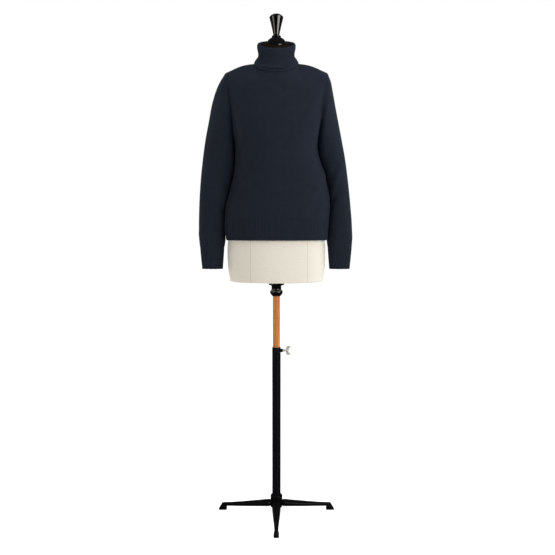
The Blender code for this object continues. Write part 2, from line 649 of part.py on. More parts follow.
def dress_form(front, back, front_normals, back_normals):
    """The closed torso, just inside the sweater's wall from the underarm up."""
    rings = []
    for row in FORM_ROWS:
        lines = []
        for facing in (-1, 1):
            depth = row.front if facing < 0 else row.back
            s = np.linspace(facing, -facing, COLUMNS + 1)
            line = Row(row.z, row.z, row.half, row.half, facing * depth, 0, 90, FORM_FULL[facing])
            lines.append(across(line, s))
        rings.append(form_ring(*lines))
    inset = np.full((*front.shape[:2], 1), WALL + REST_GAP)
    near_neck = slice(MIDDLE - NECK_COLUMNS - 1, MIDDLE + NECK_COLUMNS + 2)
    inset[TOP, near_neck] += NECK_CLEAR
    inset[TOP - 1, near_neck] += NECK_CLEAR / 2
    front_inner = front - inset * front_normals
    back_inner = back - inset * back_normals
    for row in range(UNDERARM, TOP + 1):
        rings.append(form_ring(front_inner[row], back_inner[row]))
    points = np.stack(rings)
    half = [False] * MIDDLE + [True] * MIDDLE + [False] * SIDE_STEPS
    faces = triangles(*points.shape[:2], True, flips=half + half)
    bottom = list(range(points.shape[1]))
    points = [points.reshape(-1, 3)]
    total = len(points[0])

    neck = slice(MIDDLE - NECK_COLUMNS, MIDDLE + NECK_COLUMNS)
    seam = np.concatenate([front_inner[TOP, neck], back_inner[TOP, neck]])
    ahead = radians(SEAM_ANGLE) * np.linspace(-1, 1, 2 * NECK_COLUMNS + 1)[:-1]
    behind = pi + radians(180 - SEAM_ANGLE) * np.linspace(-1, 1, 2 * NECK_COLUMNS + 1)[:-1]
    angles = np.concatenate([ahead, behind])
    loops = [seam] + [neck_loop(loop, angles) for loop in FORM_NECK]
    for rim in NECK_TOP:
        x = rim.half * np.sin(angles)
        y = rim.centre_y - rim.depth * np.cos(angles)
        z = NECK_CAP_PLANE_Z - rim.below + NECK_CAP_RISE * y
        loops.append(np.stack([x, y, z], axis=-1))
    grid = np.stack(loops)
    faces += triangles(*grid.shape[:2], True, start=total)
    points.append(grid.reshape(-1, 3))
    top = [total + (len(loops) - 1) * len(angles) + k for k in range(len(angles))]
    centres = np.array([[0, 0, FORM_ROWS[0].z], [0, 0, NECK_CAP_PLANE_Z]])
    points.append(centres)
    last = total + grid.shape[0] * grid.shape[1]
    faces += fan(bottom, last) + fan(top, last + 1)
    return mesh_object("dress_form", np.concatenate(points), faces, linen)


def fan(ring, centre):
    return [(centre, ring[k], ring[(k + 1) % len(ring)]) for k in range(len(ring))]


def material(name, colour, roughness, metallic=0.0):
    """A plain finish: base colour, roughness and metallic value."""
    finish = bpy.data.materials.new(name)
    finish.use_nodes = True
    shader = finish.node_tree.nodes["Principled BSDF"]
    shader.inputs["Base Color"].default_value = (*colour, 1)
    shader.inputs["Roughness"].default_value = roughness
    shader.inputs["Metallic"].default_value = metallic
    finish.diffuse_color = (*colour, 1)
    return finish


def turned(name, profile, finish, closed=False, steps=ROUND_STEPS):
    """A turned piece: its profile spun about Z by a Screw modifier."""
    mesh = bpy.data.meshes.new(name)
    edges = [(k, k + 1) for k in range(len(profile) - 1)]
    if closed:
        edges.append((len(profile) - 1, 0))
    mesh.from_pydata([(radius, 0, height) for radius, height in profile], edges, [])
    thing = finish_object(name, mesh, finish)
    screw = thing.modifiers.new("turn", "SCREW")
    screw.steps = steps
    screw.render_steps = steps
    screw.use_merge_vertices = True
    screw.merge_threshold = 0.00001
    screw.use_smooth_shade = False
    return thing


def cutter(name, mesh_maker, location, rotation=(0, 0, 0)):
    """A shape that only cuts: kept apart from the pieces and never rendered."""
    shape = bmesh.new()
    mesh_maker(shape)
    mesh = bpy.data.meshes.new(name)
    shape.to_mesh(mesh)
    shape.free()
    thing = bpy.data.objects.new(name, mesh)
    cutters.objects.link(thing)
    thing.location = location
    thing.rotation_euler = rotation
    thing.display_type = "WIRE"
    thing.hide_render = True
    return thing


def round_bar(radius, length, steps=24):
    def make(shape):
        bmesh.ops.create_cone(shape, cap_ends=True, segments=steps, radius1=radius,
                              radius2=radius, depth=length)
    return make


def block(width, depth, height):
    def make(shape):
        bmesh.ops.create_cube(shape, size=1, matrix=Matrix.Diagonal((width, depth, height, 1)))
    return make


def combine(thing, other, operation):
    step = thing.modifiers.new(other.name, "BOOLEAN")
    step.operation = operation
    step.object = other
    step.solver = "EXACT"


def neck_cap():
    cap = turned("neck_cap", CAP_PROFILE, gloss_black)
    size = 0.2
    slope = np.arctan(NECK_CAP_RISE)
    below = size / 2 / cos(slope)
    z = NECK_CAP_PLANE_Z + GAP / cos(slope) - below
    combine(cap, cutter("neck_slope", block(size, size, size), (0, 0, z), (slope, 0, 0)),
            "DIFFERENCE")


def tube():
    post = turned("tube", TUBE_PROFILE, satin_black, closed=True)
    hole = cutter("screw_hole", round_bar(SCREW_HOLE, 0.02),
                  (TUBE_RADIUS, 0, CLAMP_Z), (0, pi / 2, 0))
    combine(post, hole, "DIFFERENCE")


def clamp_boss():
    start = TUBE_RADIUS - 0.002
    boss = finish_object("clamp_boss", bpy.data.meshes.new("clamp_boss"), satin_black)
    shape = bmesh.new()
    round_bar(CLAMP_BOSS_RADIUS, CLAMP_BOSS_END - start)(shape)
    shape.to_mesh(boss.data)
    shape.free()
    boss.location = ((start + CLAMP_BOSS_END) / 2, 0, CLAMP_Z)
    boss.rotation_euler = (0, pi / 2, 0)
    combine(boss, cutter("tube_room", round_bar(TUBE_RADIUS + GAP, 0.05, 64), (0, 0, CLAMP_Z)),
            "DIFFERENCE")
    combine(boss, cutter("screw_room", round_bar(SCREW_HOLE, 0.04),
                         (TUBE_RADIUS, 0, CLAMP_Z), (0, pi / 2, 0)), "DIFFERENCE")


def wing_screw():
    screw = turned("wing_screw", SCREW_PROFILE, nickel, steps=14)
    screw.location = (0, 0, CLAMP_Z)
    screw.rotation_euler = (0, pi / 2, 0)
    wings = cutter("wings", block(*WING_SIZE), (WING_CENTRE_X, 0, CLAMP_Z))
    bevel = wings.modifiers.new("soft edges", "BEVEL")
    bevel.width = 0.0016
    bevel.segments = 2
    combine(screw, wings, "UNION")


def rod():
    mesh = bpy.data.meshes.new("wood_rod")
    shape = bmesh.new()
    round_bar(ROD_RADIUS, ROD_TOP_Z - ROD_FOOT_Z, ROUND_STEPS)(shape)
    shape.to_mesh(mesh)
    shape.free()
    mesh.shade_smooth()
    mesh.set_sharp_from_angle(angle=radians(40))
    thing = finish_object("wood_rod", mesh, amber_wood)
    thing.location = (0, 0, (ROD_TOP_Z + ROD_FOOT_Z) / 2)


def leg(name, angle):
    """One cast leg: an arched bar that narrows outwards and ends in a flared foot."""
    rows = []
    for step in LEG_STEPS:
        edge = min(LEG_EDGE, (step.top - step.low) / 3)
        rows.append([(step.reach, -step.half, step.low), (step.reach, step.half, step.low),
                     (step.reach, step.half, step.top - edge),
                     (step.reach, step.half - edge, step.top),
                     (step.reach, -step.half + edge, step.top),
                     (step.reach, -step.half, step.top - edge)])
    points = np.array(rows)
    count = points.shape[1]
    faces = triangles(len(rows), count, True)
    faces += [(0, k, k + 1) for k in range(1, count - 1)]
    base = (len(rows) - 1) * count
    faces += [(base, base + k + 1, base + k) for k in range(1, count - 1)]
    turn = np.array(Matrix.Rotation(angle, 3, "Z"))
    return mesh_object(name, points.reshape(-1, 3) @ turn.T, faces, cast_black)


for old in list(bpy.data.objects):
    bpy.data.objects.remove(old)

parts = bpy.data.collections.new("sweater_on_dress_form")
cutters = bpy.data.collections.new("cutters")
bpy.context.scene.collection.children.link(parts)
bpy.context.scene.collection.children.link(cutters)

navy = material("navy_knit", (0.014, 0.019, 0.029), 0.9)
linen = material("cream_linen", (0.78, 0.74, 0.66), 0.85)
gloss_black = material("gloss_black_wood", (0.006, 0.006, 0.008), 0.12)
amber_wood = material("amber_wood", (0.56, 0.25, 0.07), 0.4)
satin_black = material("satin_black_steel", (0.010, 0.010, 0.012), 0.35, 1.0)
cast_black = material("black_cast_iron", (0.010, 0.010, 0.011), 0.45, 1.0)
nickel = material("nickel", (0.72, 0.68, 0.60), 0.25, 1.0)

front_points, front_normals = panel(-1)
back_points, back_normals = panel(1)
share_edges(front_normals, back_normals)
neck_normals(front_points, front_normals)
neck_normals(back_points, back_normals)
front_shape = press_folds(front_points, front_normals, FRONT_FOLDS)
back_shape = press_folds(back_points, back_normals, BACK_FOLDS)

wall_object("front", *cloth_panel(front_shape, front_normals), navy)
wall_object("back", *cloth_panel(back_shape, back_normals), navy)
hem_band("hem_rib_front", -1, HEM_ROWS)
hem_band("hem_rib_back", 1, HEM_BACK_ROWS)
for side, wearer in ((-1, "right"), (1, "left")):
    sleeve("sleeve_" + wearer, side, front_shape, back_shape, front_normals, back_normals)
    cuff("cuff_" + wearer, side, SLEEVES["sleeve_" + wearer][-1], CUFF_BOTTOMS["cuff_" + wearer])
collar()
dress_form(front_points, back_points, front_normals, back_normals)
neck_cap()
turned("finial", FINIAL_PROFILE, gloss_black)
turned("boss", BOSS_PROFILE, gloss_black)
rod()
tube()
clamp_boss()
wing_screw()
turned("hub", HUB_PROFILE, cast_black, closed=True)
for number, place in enumerate(("left", "back", "right", "front")):
    leg("leg_" + place, number * pi / 2)
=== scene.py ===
# %% [markdown]
# # A turtleneck sweater on a dress form
#
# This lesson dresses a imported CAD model: a fine navy turtleneck that rests on a limbless linen
# dress form. The frame holds every piece at its real size in metres, with +Z up. The sweater's
# front faces -Y, and left and right are the wearer's.

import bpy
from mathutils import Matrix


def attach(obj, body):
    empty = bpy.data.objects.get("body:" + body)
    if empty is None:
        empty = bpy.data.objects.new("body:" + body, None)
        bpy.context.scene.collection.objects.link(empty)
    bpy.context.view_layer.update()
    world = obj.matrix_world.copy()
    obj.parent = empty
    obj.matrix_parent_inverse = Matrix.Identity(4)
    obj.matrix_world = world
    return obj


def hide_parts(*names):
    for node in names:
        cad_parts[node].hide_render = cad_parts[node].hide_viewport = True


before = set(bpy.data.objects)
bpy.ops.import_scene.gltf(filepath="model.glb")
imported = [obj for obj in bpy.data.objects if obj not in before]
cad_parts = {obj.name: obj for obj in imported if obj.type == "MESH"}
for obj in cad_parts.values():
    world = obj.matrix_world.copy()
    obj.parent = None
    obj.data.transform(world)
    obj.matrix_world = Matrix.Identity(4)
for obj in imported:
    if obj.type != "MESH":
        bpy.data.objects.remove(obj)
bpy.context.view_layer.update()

# %% Modules and shared helpers
from collections import namedtuple
from math import cos, pi, radians, sin

import bmesh
import bpy
import numpy as np
from mathutils import Vector
from mathutils.bvhtree import BVHTree

MM = 0.001


def linear(hex_text):
    """An sRGB hex colour such as '20252F' as linear RGBA."""
    parts = [int(hex_text[k:k + 2], 16) / 255 for k in (0, 2, 4)]
    return (*[c / 12.92 if c <= 0.04045 else ((c + 0.055) / 1.055) ** 2.4 for c in parts], 1.0)


def add(material, kind, settings=None, links=None, **properties):
    """Add one node to a material: its input values, the sockets linked to it, its properties."""
    node = material.node_tree.nodes.new(kind)
    for name, value in properties.items():
        setattr(node, name, value)
    for name, value in (settings or {}).items():
        node.inputs[name].default_value = value
    for name, source in (links or {}).items():
        material.node_tree.links.new(source, node.inputs[name])
    return node


# %% [markdown]
# ## Camera, light and floor
#
# The object was photographed straight on from a little below the middle of its height, with a
# long enough lens to keep the sleeves upright. The brighter light stands on the viewer's right,
# so the left flank of the cloth falls darker. In a white studio the backdrop is lit and the room
# behind the camera is dark. Black flags keep the backdrop out of reflections, so that black
# lacquer stays black up to its edges. Floor and backdrop merge.

# %% Camera
FOCAL_PIXELS = 601.2
PHOTO_PIXELS = 555
SENSOR = 36.0
camera_data = bpy.data.cameras.new("studio_camera")
camera_data.sensor_width = SENSOR
camera_data.lens = FOCAL_PIXELS / PHOTO_PIXELS * SENSOR
camera = bpy.data.objects.new("studio_camera", camera_data)
camera.location = (0.0038, -2.0935, 1.0005)
camera.rotation_euler = (radians(90 - 4.5), 0, 0)
bpy.context.scene.collection.objects.link(camera)
bpy.context.scene.camera = camera
print("lens mm:", round(camera_data.lens, 2))

# %% Lights
Light = namedtuple("Light", "name place aim width height watts colour mirrored")
LIGHTS = [
    Light("key", (1.95, -1.95, 1.75), (0, 0, 1.1), 2.0, 2.0, 53, (1.0, 0.99, 0.97), True),
    Light("fill", (-2.5, -1.5, 1.4), (0, 0, 1.1), 1.4, 2.0, 15, (1.0, 0.94, 0.88), True),
    Light("right_rim", (2.1, 0.7, 1.4), (0, 0, 1.15), 0.7, 2.0, 24, (0.93, 0.97, 1.0), False),
    Light("left_rim", (-2.2, 0.9, 1.4), (0, 0, 1.15), 0.7, 2.0, 30, (1.0, 0.92, 0.86), False),
    Light("top", (0.2, -0.7, 3.2), (0, 0, 1.2), 1.4, 1.4, 18, (1.0, 1.0, 1.0), False),
]


def point_at(lamp, target):
    """Turn a light so that it shines at a point."""
    direction = Vector(target) - lamp.location
    lamp.rotation_euler = direction.to_track_quat("-Z", "Y").to_euler()


for light in LIGHTS:
    data = bpy.data.lights.new(light.name, "AREA")
    data.shape = "RECTANGLE"
    data.size, data.size_y = light.width, light.height
    data.energy = light.watts
    data.color = light.colour
    lamp = bpy.data.objects.new(light.name, data)
    lamp.location = light.place
    lamp.visible_glossy = light.mirrored
    point_at(lamp, light.aim)
    bpy.context.scene.collection.objects.link(lamp)
print("lights:", [light.name for light in LIGHTS])

# %% World and floor
bpy.context.scene.view_settings.view_transform = "Standard"
world = bpy.data.worlds.new("white_studio")
world.use_nodes = True
bpy.context.scene.world = world
nodes, links = world.node_tree.nodes, world.node_tree.links
place = nodes.new("ShaderNodeTexCoord")
parts = nodes.new("ShaderNodeSeparateXYZ")
links.new(place.outputs["Generated"], parts.inputs["Vector"])
dark_front = nodes.new("ShaderNodeMapRange")
dark_front.interpolation_type = "SMOOTHSTEP"
for name, value in (("From Min", -0.3), ("From Max", 1.0), ("To Min", 0.14), ("To Max", 0.85)):
    dark_front.inputs[name].default_value = value
links.new(parts.outputs["Y"], dark_front.inputs["Value"])
seen = nodes.new("ShaderNodeLightPath")
flagged = nodes.new("ShaderNodeMix")
flagged.inputs["B"].default_value = 0.05
links.new(seen.outputs["Is Glossy Ray"], flagged.inputs["Factor"])
links.new(dark_front.outputs["Result"], flagged.inputs["A"])
strength = nodes.new("ShaderNodeMix")
strength.inputs["B"].default_value = 1.0
links.new(seen.outputs["Is Camera Ray"], strength.inputs["Factor"])
links.new(flagged.outputs["Result"], strength.inputs["A"])
links.new(strength.outputs["Result"], nodes["Background"].inputs["Strength"])
nodes["Background"].inputs["Color"].default_value = (1.0, 1.0, 1.0, 1.0)

bpy.ops.object.select_all(action="DESELECT")
bpy.ops.mesh.primitive_plane_add(size=60, location=(0, 0, -0.4 * MM))
floor = bpy.context.object
floor.name = "studio_floor"
paint = bpy.data.materials.new("lit_white_acrylic_floor")
paint.use_nodes = True
floor_shader = paint.node_tree.nodes["Principled BSDF"]
floor_shader.inputs["Roughness"].default_value = 0.9
floor_shader.inputs["Specular IOR Level"].default_value = 0.0
floor_shader.inputs["Emission Color"].default_value = (1.0, 1.0, 1.0, 1.0)
to_camera = add(paint, "ShaderNodeLightPath")
flag = add(paint, "ShaderNodeMix", {"A": linear("C8C8C8"), "B": linear("303030")},
           {"Factor": to_camera.outputs["Is Glossy Ray"]}, data_type="RGBA")
paint.node_tree.links.new(flag.outputs["Result"], floor_shader.inputs["Base Color"])
bounce = add(paint, "ShaderNodeMath", {1: 0.35}, {0: to_camera.outputs["Is Diffuse Ray"]},
             operation="MULTIPLY")
glow = add(paint, "ShaderNodeMath", {1: 0.85},
           {0: to_camera.outputs["Is Camera Ray"], 2: bounce.outputs[0]},
           operation="MULTIPLY_ADD")
paint.node_tree.links.new(glow.outputs[0], floor_shader.inputs["Emission Strength"])
floor.data.materials.append(paint)

# %% [markdown]
# ## The dress form
#
# The torso is padded and covered in linen. Its solid is already the right shape with flat
# facets, so a copy of it is merged, its triangles are joined into quads and a Subdivision
# Surface rounds it. The solid itself stays as it is and only stops showing. Its lower corner is
# too round, so the copy is cut off above it and its wall is extruded down again to a crisp
# corner. The top of the neck, round the cap, is a dark wooden plate, so its faces get a second
# material: a near-black brown that is partly the wood's own colour and partly painted shade.

# %% Round the torso
PLATE_Z = 1.57             # the neck plate's faces lie above this height
PLATE_RISE = 0.6           # and their normals rise at least this much
NECK_TOP_Z = 1.59
NECK_TOP_RADIUS = 0.0525
NECK_TOP_EDGE = 12 * MM
NECK_TOP_LIFT = 8 * MM     # the top of the neck swells up round the cap, from its edge inwards
FOOT_CORNER = 15.2 * MM    # below this height the solid's corner is rounder than the real one
# The new corner's rings: height above the foot, and a scale for each from the ring before it
FOOT_RINGS = [(6 * MM, 0.9950), (1.3 * MM, 0.9965), (0, 0.9920)]
FOOT_INSET = 4 * MM


def copy_node(node, name):
    """A copy of a CAD node with its corners merged and its triangles joined into quads."""
    bpy.ops.object.select_all(action="DESELECT")
    copy = bpy.data.objects.new(name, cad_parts[node].data.copy())
    copy.data.materials.clear()
    bpy.context.scene.collection.objects.link(copy)
    copy.select_set(True)
    bpy.context.view_layer.objects.active = copy
    bpy.ops.object.mode_set(mode="EDIT")
    bpy.ops.mesh.select_all(action="SELECT")
    bpy.ops.mesh.remove_doubles(threshold=0.02 * MM)
    bpy.ops.mesh.tris_convert_to_quads(face_threshold=radians(40), shape_threshold=radians(50))
    bpy.ops.mesh.normals_make_consistent(inside=False)
    bpy.ops.object.mode_set(mode="OBJECT")
    return copy


torso = copy_node("dress_form", "linen_torso")
foot_z = min(vertex.co.z for vertex in torso.data.vertices)
# Faces on top of the neck round the cap take the plate's near-black colour, partly painted shade.
for face in torso.data.polygons:
    on_plate = face.center.z > PLATE_Z and face.normal.z > PLATE_RISE
    face.material_index = 1 if on_plate else 0
rounding = torso.modifiers.new("rounding", "SUBSURF")
rounding.levels = rounding.render_levels = 2
bpy.ops.object.modifier_apply(modifier="rounding")
for vertex in torso.data.vertices:
    x, y, z = vertex.co
    if z > NECK_TOP_Z:
        inward = (NECK_TOP_RADIUS - (x * x + y * y) ** 0.5) / NECK_TOP_EDGE
        inward = min(max(inward, 0), 1)
        vertex.co.z += NECK_TOP_LIFT * inward * inward * (3 - 2 * inward)
bpy.ops.object.mode_set(mode="EDIT")
bpy.ops.mesh.select_all(action="SELECT")
bpy.ops.mesh.bisect(plane_co=(0, 0, foot_z + FOOT_CORNER), plane_no=(0, 0, 1),
                    clear_inner=True)
bpy.ops.mesh.select_all(action="DESELECT")
bpy.ops.mesh.select_non_manifold(extend=False)
above = FOOT_CORNER
for height, share in FOOT_RINGS:
    bpy.ops.mesh.extrude_region_move(TRANSFORM_OT_translate={"value": (0, 0, height - above)})
    bpy.ops.transform.resize(value=(share, share, 1), center_override=(0, 0, foot_z + height))
    above = height
bpy.ops.mesh.edge_face_add()
bpy.ops.mesh.inset(thickness=FOOT_INSET)
bpy.ops.mesh.select_all(action="SELECT")
bpy.ops.mesh.normals_make_consistent(inside=False)
bpy.ops.object.mode_set(mode="OBJECT")
torso.data.shade_smooth()
form_shape = bmesh.new()
form_shape.from_mesh(torso.data)
form_tree = BVHTree.FromBMesh(form_shape)
form_shape.free()
print("torso faces:", len(torso.data.polygons), "foot at mm:", round(foot_z * 1000, 1))

# %% [markdown]
# ## The sweater's measurements
#
# A sweater of this kind is knitted to shape: a front, a back, two sleeves, rib bands at the hem
# and cuffs, and a rib tube that folds over as the collar. Each panel is drawn here as a short
# table with a row for each level, as a knitter's schematic has. The solids in the frame were
# made from the same tables, so each fine shell lies on its own solid. Here the sleeves hang a
# few millimetres closer, because soft sleeves rest against the body and solids must keep a gap,
# and the shoulders are a little rounder.

# %% Sizes of the cloth
WALL = 2.2 * MM            # thickness of the shown cloth; the solids are 3 mm thick
SEAM = 0.15 * MM           # half the gap that a seam keeps
RIB_RAISE = 1.1 * MM
RIB_PITCH = 7.6 * MM       # one rib of two stitches and its valley of two
WALE = 3.8 * MM            # a fine wool stitch is about 2.2 mm wide; drawn coarser so it shows
COURSE = 3.0 * MM          # and about 1.7 mm tall
NECK_SHARE = 0.5           # where the neck meets the shoulder, as a share of a half row
NECK_HALF = 0.0735
NECK_CENTRE_Y = -0.013
NECK_DEPTH = 0.069
NECK_SIDE_Z = 1.559
NECK_RISE = 0.62
SEAM_ANGLE = 75.7

# A row across a panel: heights, widths to each side, depths, how far it turns, how full it is
Row = namedtuple("Row", "z_mid z_edge right left y_mid y_edge turn full")
HEM_ROWS = {
    "front": [
        Row(0.967, 0.967, 0.1735, 0.1775, -0.1190, 0.0, 90, 0.86),
        Row(1.005, 1.005, 0.1790, 0.1790, -0.1220, 0.0, 90, 0.86),
        Row(1.045, 1.045, 0.1780, 0.1820, -0.1235, 0.0, 90, 0.86),
    ],
    "back": [
        Row(0.967, 0.967, 0.1735, 0.1775, 0.1250, 0.0, 90, 0.90),
        Row(1.005, 1.005, 0.1790, 0.1790, 0.1290, 0.0, 90, 0.90),
        Row(1.045, 1.045, 0.1780, 0.1820, 0.1290, 0.0, 90, 0.90),
    ],
}
PANEL_ROWS = {
    "front": [
        Row(1.045, 1.045, 0.1780, 0.1820, -0.1235, 0.0, 90, 0.86),
        Row(1.077, 1.077, 0.1755, 0.1855, -0.1245, 0.0, 90, 0.86),
        Row(1.107, 1.107, 0.1680, 0.1845, -0.1250, 0.0, 90, 0.86),
        Row(1.134, 1.134, 0.1610, 0.1800, -0.1260, 0.0, 90, 0.86),
        Row(1.160, 1.160, 0.1550, 0.1740, -0.1275, 0.0, 90, 0.86),
        Row(1.183, 1.183, 0.1497, 0.1670, -0.1295, 0.0, 90, 0.85),
        Row(1.210, 1.210, 0.1450, 0.1580, -0.1325, 0.0, 90, 0.84),
        Row(1.234, 1.234, 0.1420, 0.1500, -0.1350, 0.0, 90, 0.83),
        Row(1.260, 1.260, 0.1415, 0.1440, -0.1375, 0.0, 90, 0.82),
        Row(1.285, 1.285, 0.1420, 0.1415, -0.1395, 0.0, 90, 0.80),
        Row(1.322, 1.318, 0.1445, 0.1430, -0.1390, -0.040, 84, 0.80),
        Row(1.365, 1.362, 0.1490, 0.1480, -0.1315, -0.056, 76, 0.82),
        Row(1.410, 1.412, 0.1530, 0.1525, -0.1190, -0.060, 66, 0.86),
        Row(1.450, 1.456, 0.1590, 0.1585, -0.1065, -0.055, 58, 0.90),
        Row(1.478, 1.492, 0.1655, 0.1650, -0.0985, -0.045, 50, 0.95),
    ],
    "back": [
        Row(1.045, 1.045, 0.1780, 0.1820, 0.1290, 0.0, 90, 0.90),
        Row(1.077, 1.077, 0.1755, 0.1855, 0.1270, 0.0, 90, 0.90),
        Row(1.107, 1.107, 0.1680, 0.1845, 0.1220, 0.0, 90, 0.90),
        Row(1.134, 1.134, 0.1610, 0.1800, 0.1160, 0.0, 90, 0.90),
        Row(1.160, 1.160, 0.1550, 0.1740, 0.1110, 0.0, 90, 0.90),
        Row(1.183, 1.183, 0.1497, 0.1670, 0.1075, 0.0, 90, 0.90),
        Row(1.210, 1.210, 0.1450, 0.1580, 0.1050, 0.0, 90, 0.90),
        Row(1.234, 1.234, 0.1420, 0.1500, 0.1045, 0.0, 90, 0.90),
        Row(1.260, 1.260, 0.1415, 0.1440, 0.1055, 0.0, 90, 0.90),
        Row(1.285, 1.285, 0.1420, 0.1415, 0.1070, 0.0, 90, 0.90),
        Row(1.325, 1.318, 0.1445, 0.1430, 0.1095, 0.040, 84, 0.88),
        Row(1.370, 1.362, 0.1490, 0.1480, 0.1115, 0.056, 76, 0.86),
        Row(1.420, 1.412, 0.1530, 0.1525, 0.1115, 0.061, 66, 0.86),
        Row(1.470, 1.456, 0.1590, 0.1585, 0.1065, 0.058, 58, 0.90),
    ],
}
# A yoke row: out along a shoulder, round the neck on an ellipse, and out along the other
Yoke = namedtuple("Yoke", "half centre_y depth side_z rise corner tip_x tip_y tip_z arch")
SEAM_YOKE = Yoke(NECK_HALF, NECK_CENTRE_Y, NECK_DEPTH, NECK_SIDE_Z, NECK_RISE,
                 SEAM_ANGLE, 0.1742, -0.0160, 1.5260, 0.0080)
YOKES = {
    "front": [
        Yoke(0.0830, -0.013, 0.0790, 1.5440, 0.62, 62, 0.1715, -0.0340, 1.5110, 0.0060),
        SEAM_YOKE,
    ],
    "back": [
        Yoke(0.0920, -0.005, 0.0970, 1.5480, -0.15, 60, 0.1710, 0.0340, 1.5140, 0.0060),
        Yoke(0.0775, -0.013, 0.0790, 1.5635, 0.31, 77.6, 0.1740, 0.0040, 1.5285, 0.0090),
        SEAM_YOKE._replace(corner=180 - SEAM_ANGLE),
    ],
}
UNDERARM = 9               # the row where the armholes begin
print("front rows:", len(PANEL_ROWS["front"]), "back rows:", len(PANEL_ROWS["back"]))

# %% Sizes of the sleeves and the collar
# A sleeve's section: its outer and inner points from the front, its depth before and behind
Ring = namedtuple("Ring", "outer_x outer_z inner_x inner_z front back")
SLEEVES = {
    "right": [
        Ring(0.1803, 1.5205, 0.1400, 1.2740, 0.062, 0.060),
        Ring(0.1885, 1.5080, 0.1395, 1.2600, 0.063, 0.060),
        Ring(0.2005, 1.4850, 0.1395, 1.2400, 0.062, 0.058),
        Ring(0.2180, 1.4340, 0.1405, 1.2100, 0.058, 0.055),
        Ring(0.2310, 1.3700, 0.1480, 1.1750, 0.052, 0.052),
        Ring(0.2430, 1.3100, 0.1550, 1.1400, 0.048, 0.050),
        Ring(0.2520, 1.2500, 0.1630, 1.1080, 0.045, 0.048),
        Ring(0.2610, 1.1700, 0.1710, 1.0680, 0.041, 0.045),
        Ring(0.2665, 1.0900, 0.1745, 1.0270, 0.038, 0.041),
        Ring(0.2688, 1.0150, 0.1755, 0.9850, 0.034, 0.036),
        Ring(0.2675, 0.9600, 0.1785, 0.9530, 0.031, 0.033),
        Ring(0.2650, 0.9390, 0.1815, 0.9390, 0.030, 0.031),
    ],
    "left": [
        Ring(0.1792, 1.5190, 0.1400, 1.2740, 0.062, 0.060),
        Ring(0.1850, 1.5040, 0.1400, 1.2620, 0.063, 0.060),
        Ring(0.1915, 1.4720, 0.1415, 1.2480, 0.061, 0.058),
        Ring(0.2010, 1.4220, 0.1470, 1.2270, 0.057, 0.056),
        Ring(0.2130, 1.3620, 0.1600, 1.1980, 0.052, 0.054),
        Ring(0.2250, 1.3020, 0.1700, 1.1620, 0.048, 0.052),
        Ring(0.2355, 1.2480, 0.1775, 1.1250, 0.045, 0.050),
        Ring(0.2455, 1.1780, 0.1810, 1.0820, 0.041, 0.047),
        Ring(0.2550, 1.0950, 0.1790, 1.0350, 0.038, 0.043),
        Ring(0.2618, 1.0150, 0.1745, 0.9870, 0.034, 0.038),
        Ring(0.2630, 0.9600, 0.1760, 0.9540, 0.031, 0.034),
        Ring(0.2615, 0.9390, 0.1785, 0.9390, 0.030, 0.031),
    ],
}
CUFF_BOTTOMS = {
    "right": Ring(0.2585, 0.8670, 0.1870, 0.8670, 0.022, 0.023),
    "left": Ring(0.2550, 0.8670, 0.1845, 0.8670, 0.022, 0.023),
}
SIDES = {"right": -1, "left": 1}
# The collar's section, from the neck seam up inside, over the roll and down outside
NeckLoop = namedtuple("NeckLoop", "half front_y back_y side_z front_z back_z rib")
COLLAR_RIBS = 47
COLLAR_RAISE = 0.8 * MM    # its rib is finer, as it is stretched round the roll


def seam_loop(inset):
    """The neck seam's ellipse, drawn in by a distance in its own plane."""
    depth = NECK_DEPTH - inset / (1 + NECK_RISE ** 2) ** 0.5
    rise = NECK_RISE * depth
    return NeckLoop(NECK_HALF - inset, NECK_CENTRE_Y - depth, NECK_CENTRE_Y + depth,
                    NECK_SIDE_Z, NECK_SIDE_Z - rise, NECK_SIDE_Z + rise, 0)


COLLAR_LOOPS = [
    seam_loop(0.8 * MM),
    NeckLoop(0.0574, -0.0608, 0.0490, 1.5950, 1.5560, 1.6180, 0),
    NeckLoop(0.0586, -0.0612, 0.0500, 1.6200, 1.5880, 1.6460, 0),
    NeckLoop(0.0582, -0.0622, 0.0506, 1.5950, 1.5605, 1.6200, 0),
    NeckLoop(0.0608, -0.0674, 0.0572, 1.5795, 1.5425, 1.6000, 0),
    NeckLoop(0.0698, -0.0768, 0.0696, 1.5664, 1.5266, 1.5912, 0),
    NeckLoop(0.0725, -0.0794, 0.0722, 1.5668, 1.5273, 1.5920, 1),
    NeckLoop(0.0639, -0.0702, 0.0618, 1.5790, 1.5428, 1.6040, 1),
    NeckLoop(0.0612, -0.0650, 0.0534, 1.5935, 1.5605, 1.6200, 1),
    NeckLoop(0.0650, -0.0668, 0.0552, 1.6170, 1.5828, 1.6410, 1),
    NeckLoop(0.0646, -0.0656, 0.0544, 1.6250, 1.5928, 1.6505, 1),
    NeckLoop(0.0606, -0.0610, 0.0504, 1.6305, 1.5992, 1.6560, 0.8),
    NeckLoop(0.0564, -0.0568, 0.0472, 1.6270, 1.5948, 1.6520, 0.7),
    NeckLoop(0.0550, -0.0556, 0.0462, 1.6140, 1.5810, 1.6390, 0.6),
    NeckLoop(0.0552, -0.0584, 0.0468, 1.5950, 1.5560, 1.6180, 0),
    seam_loop(3 * MM),
]
print("sleeve rings:", len(SLEEVES["right"]), "collar loops:", len(COLLAR_LOOPS))

# %% [markdown]
# ## From a table to a smooth surface
#
# The solids join their rows with flat facets. The fine shell puts a smooth curve through the
# same rows instead, the way a flexible ruler bends through pins. Creases are pressed into it
# afterwards, and a second surface inside gives the cloth its thickness.

# %% Curves and normals
def unit(vectors):
    length = np.linalg.norm(vectors, axis=-1, keepdims=True)
    return vectors / np.maximum(length, 1e-9)


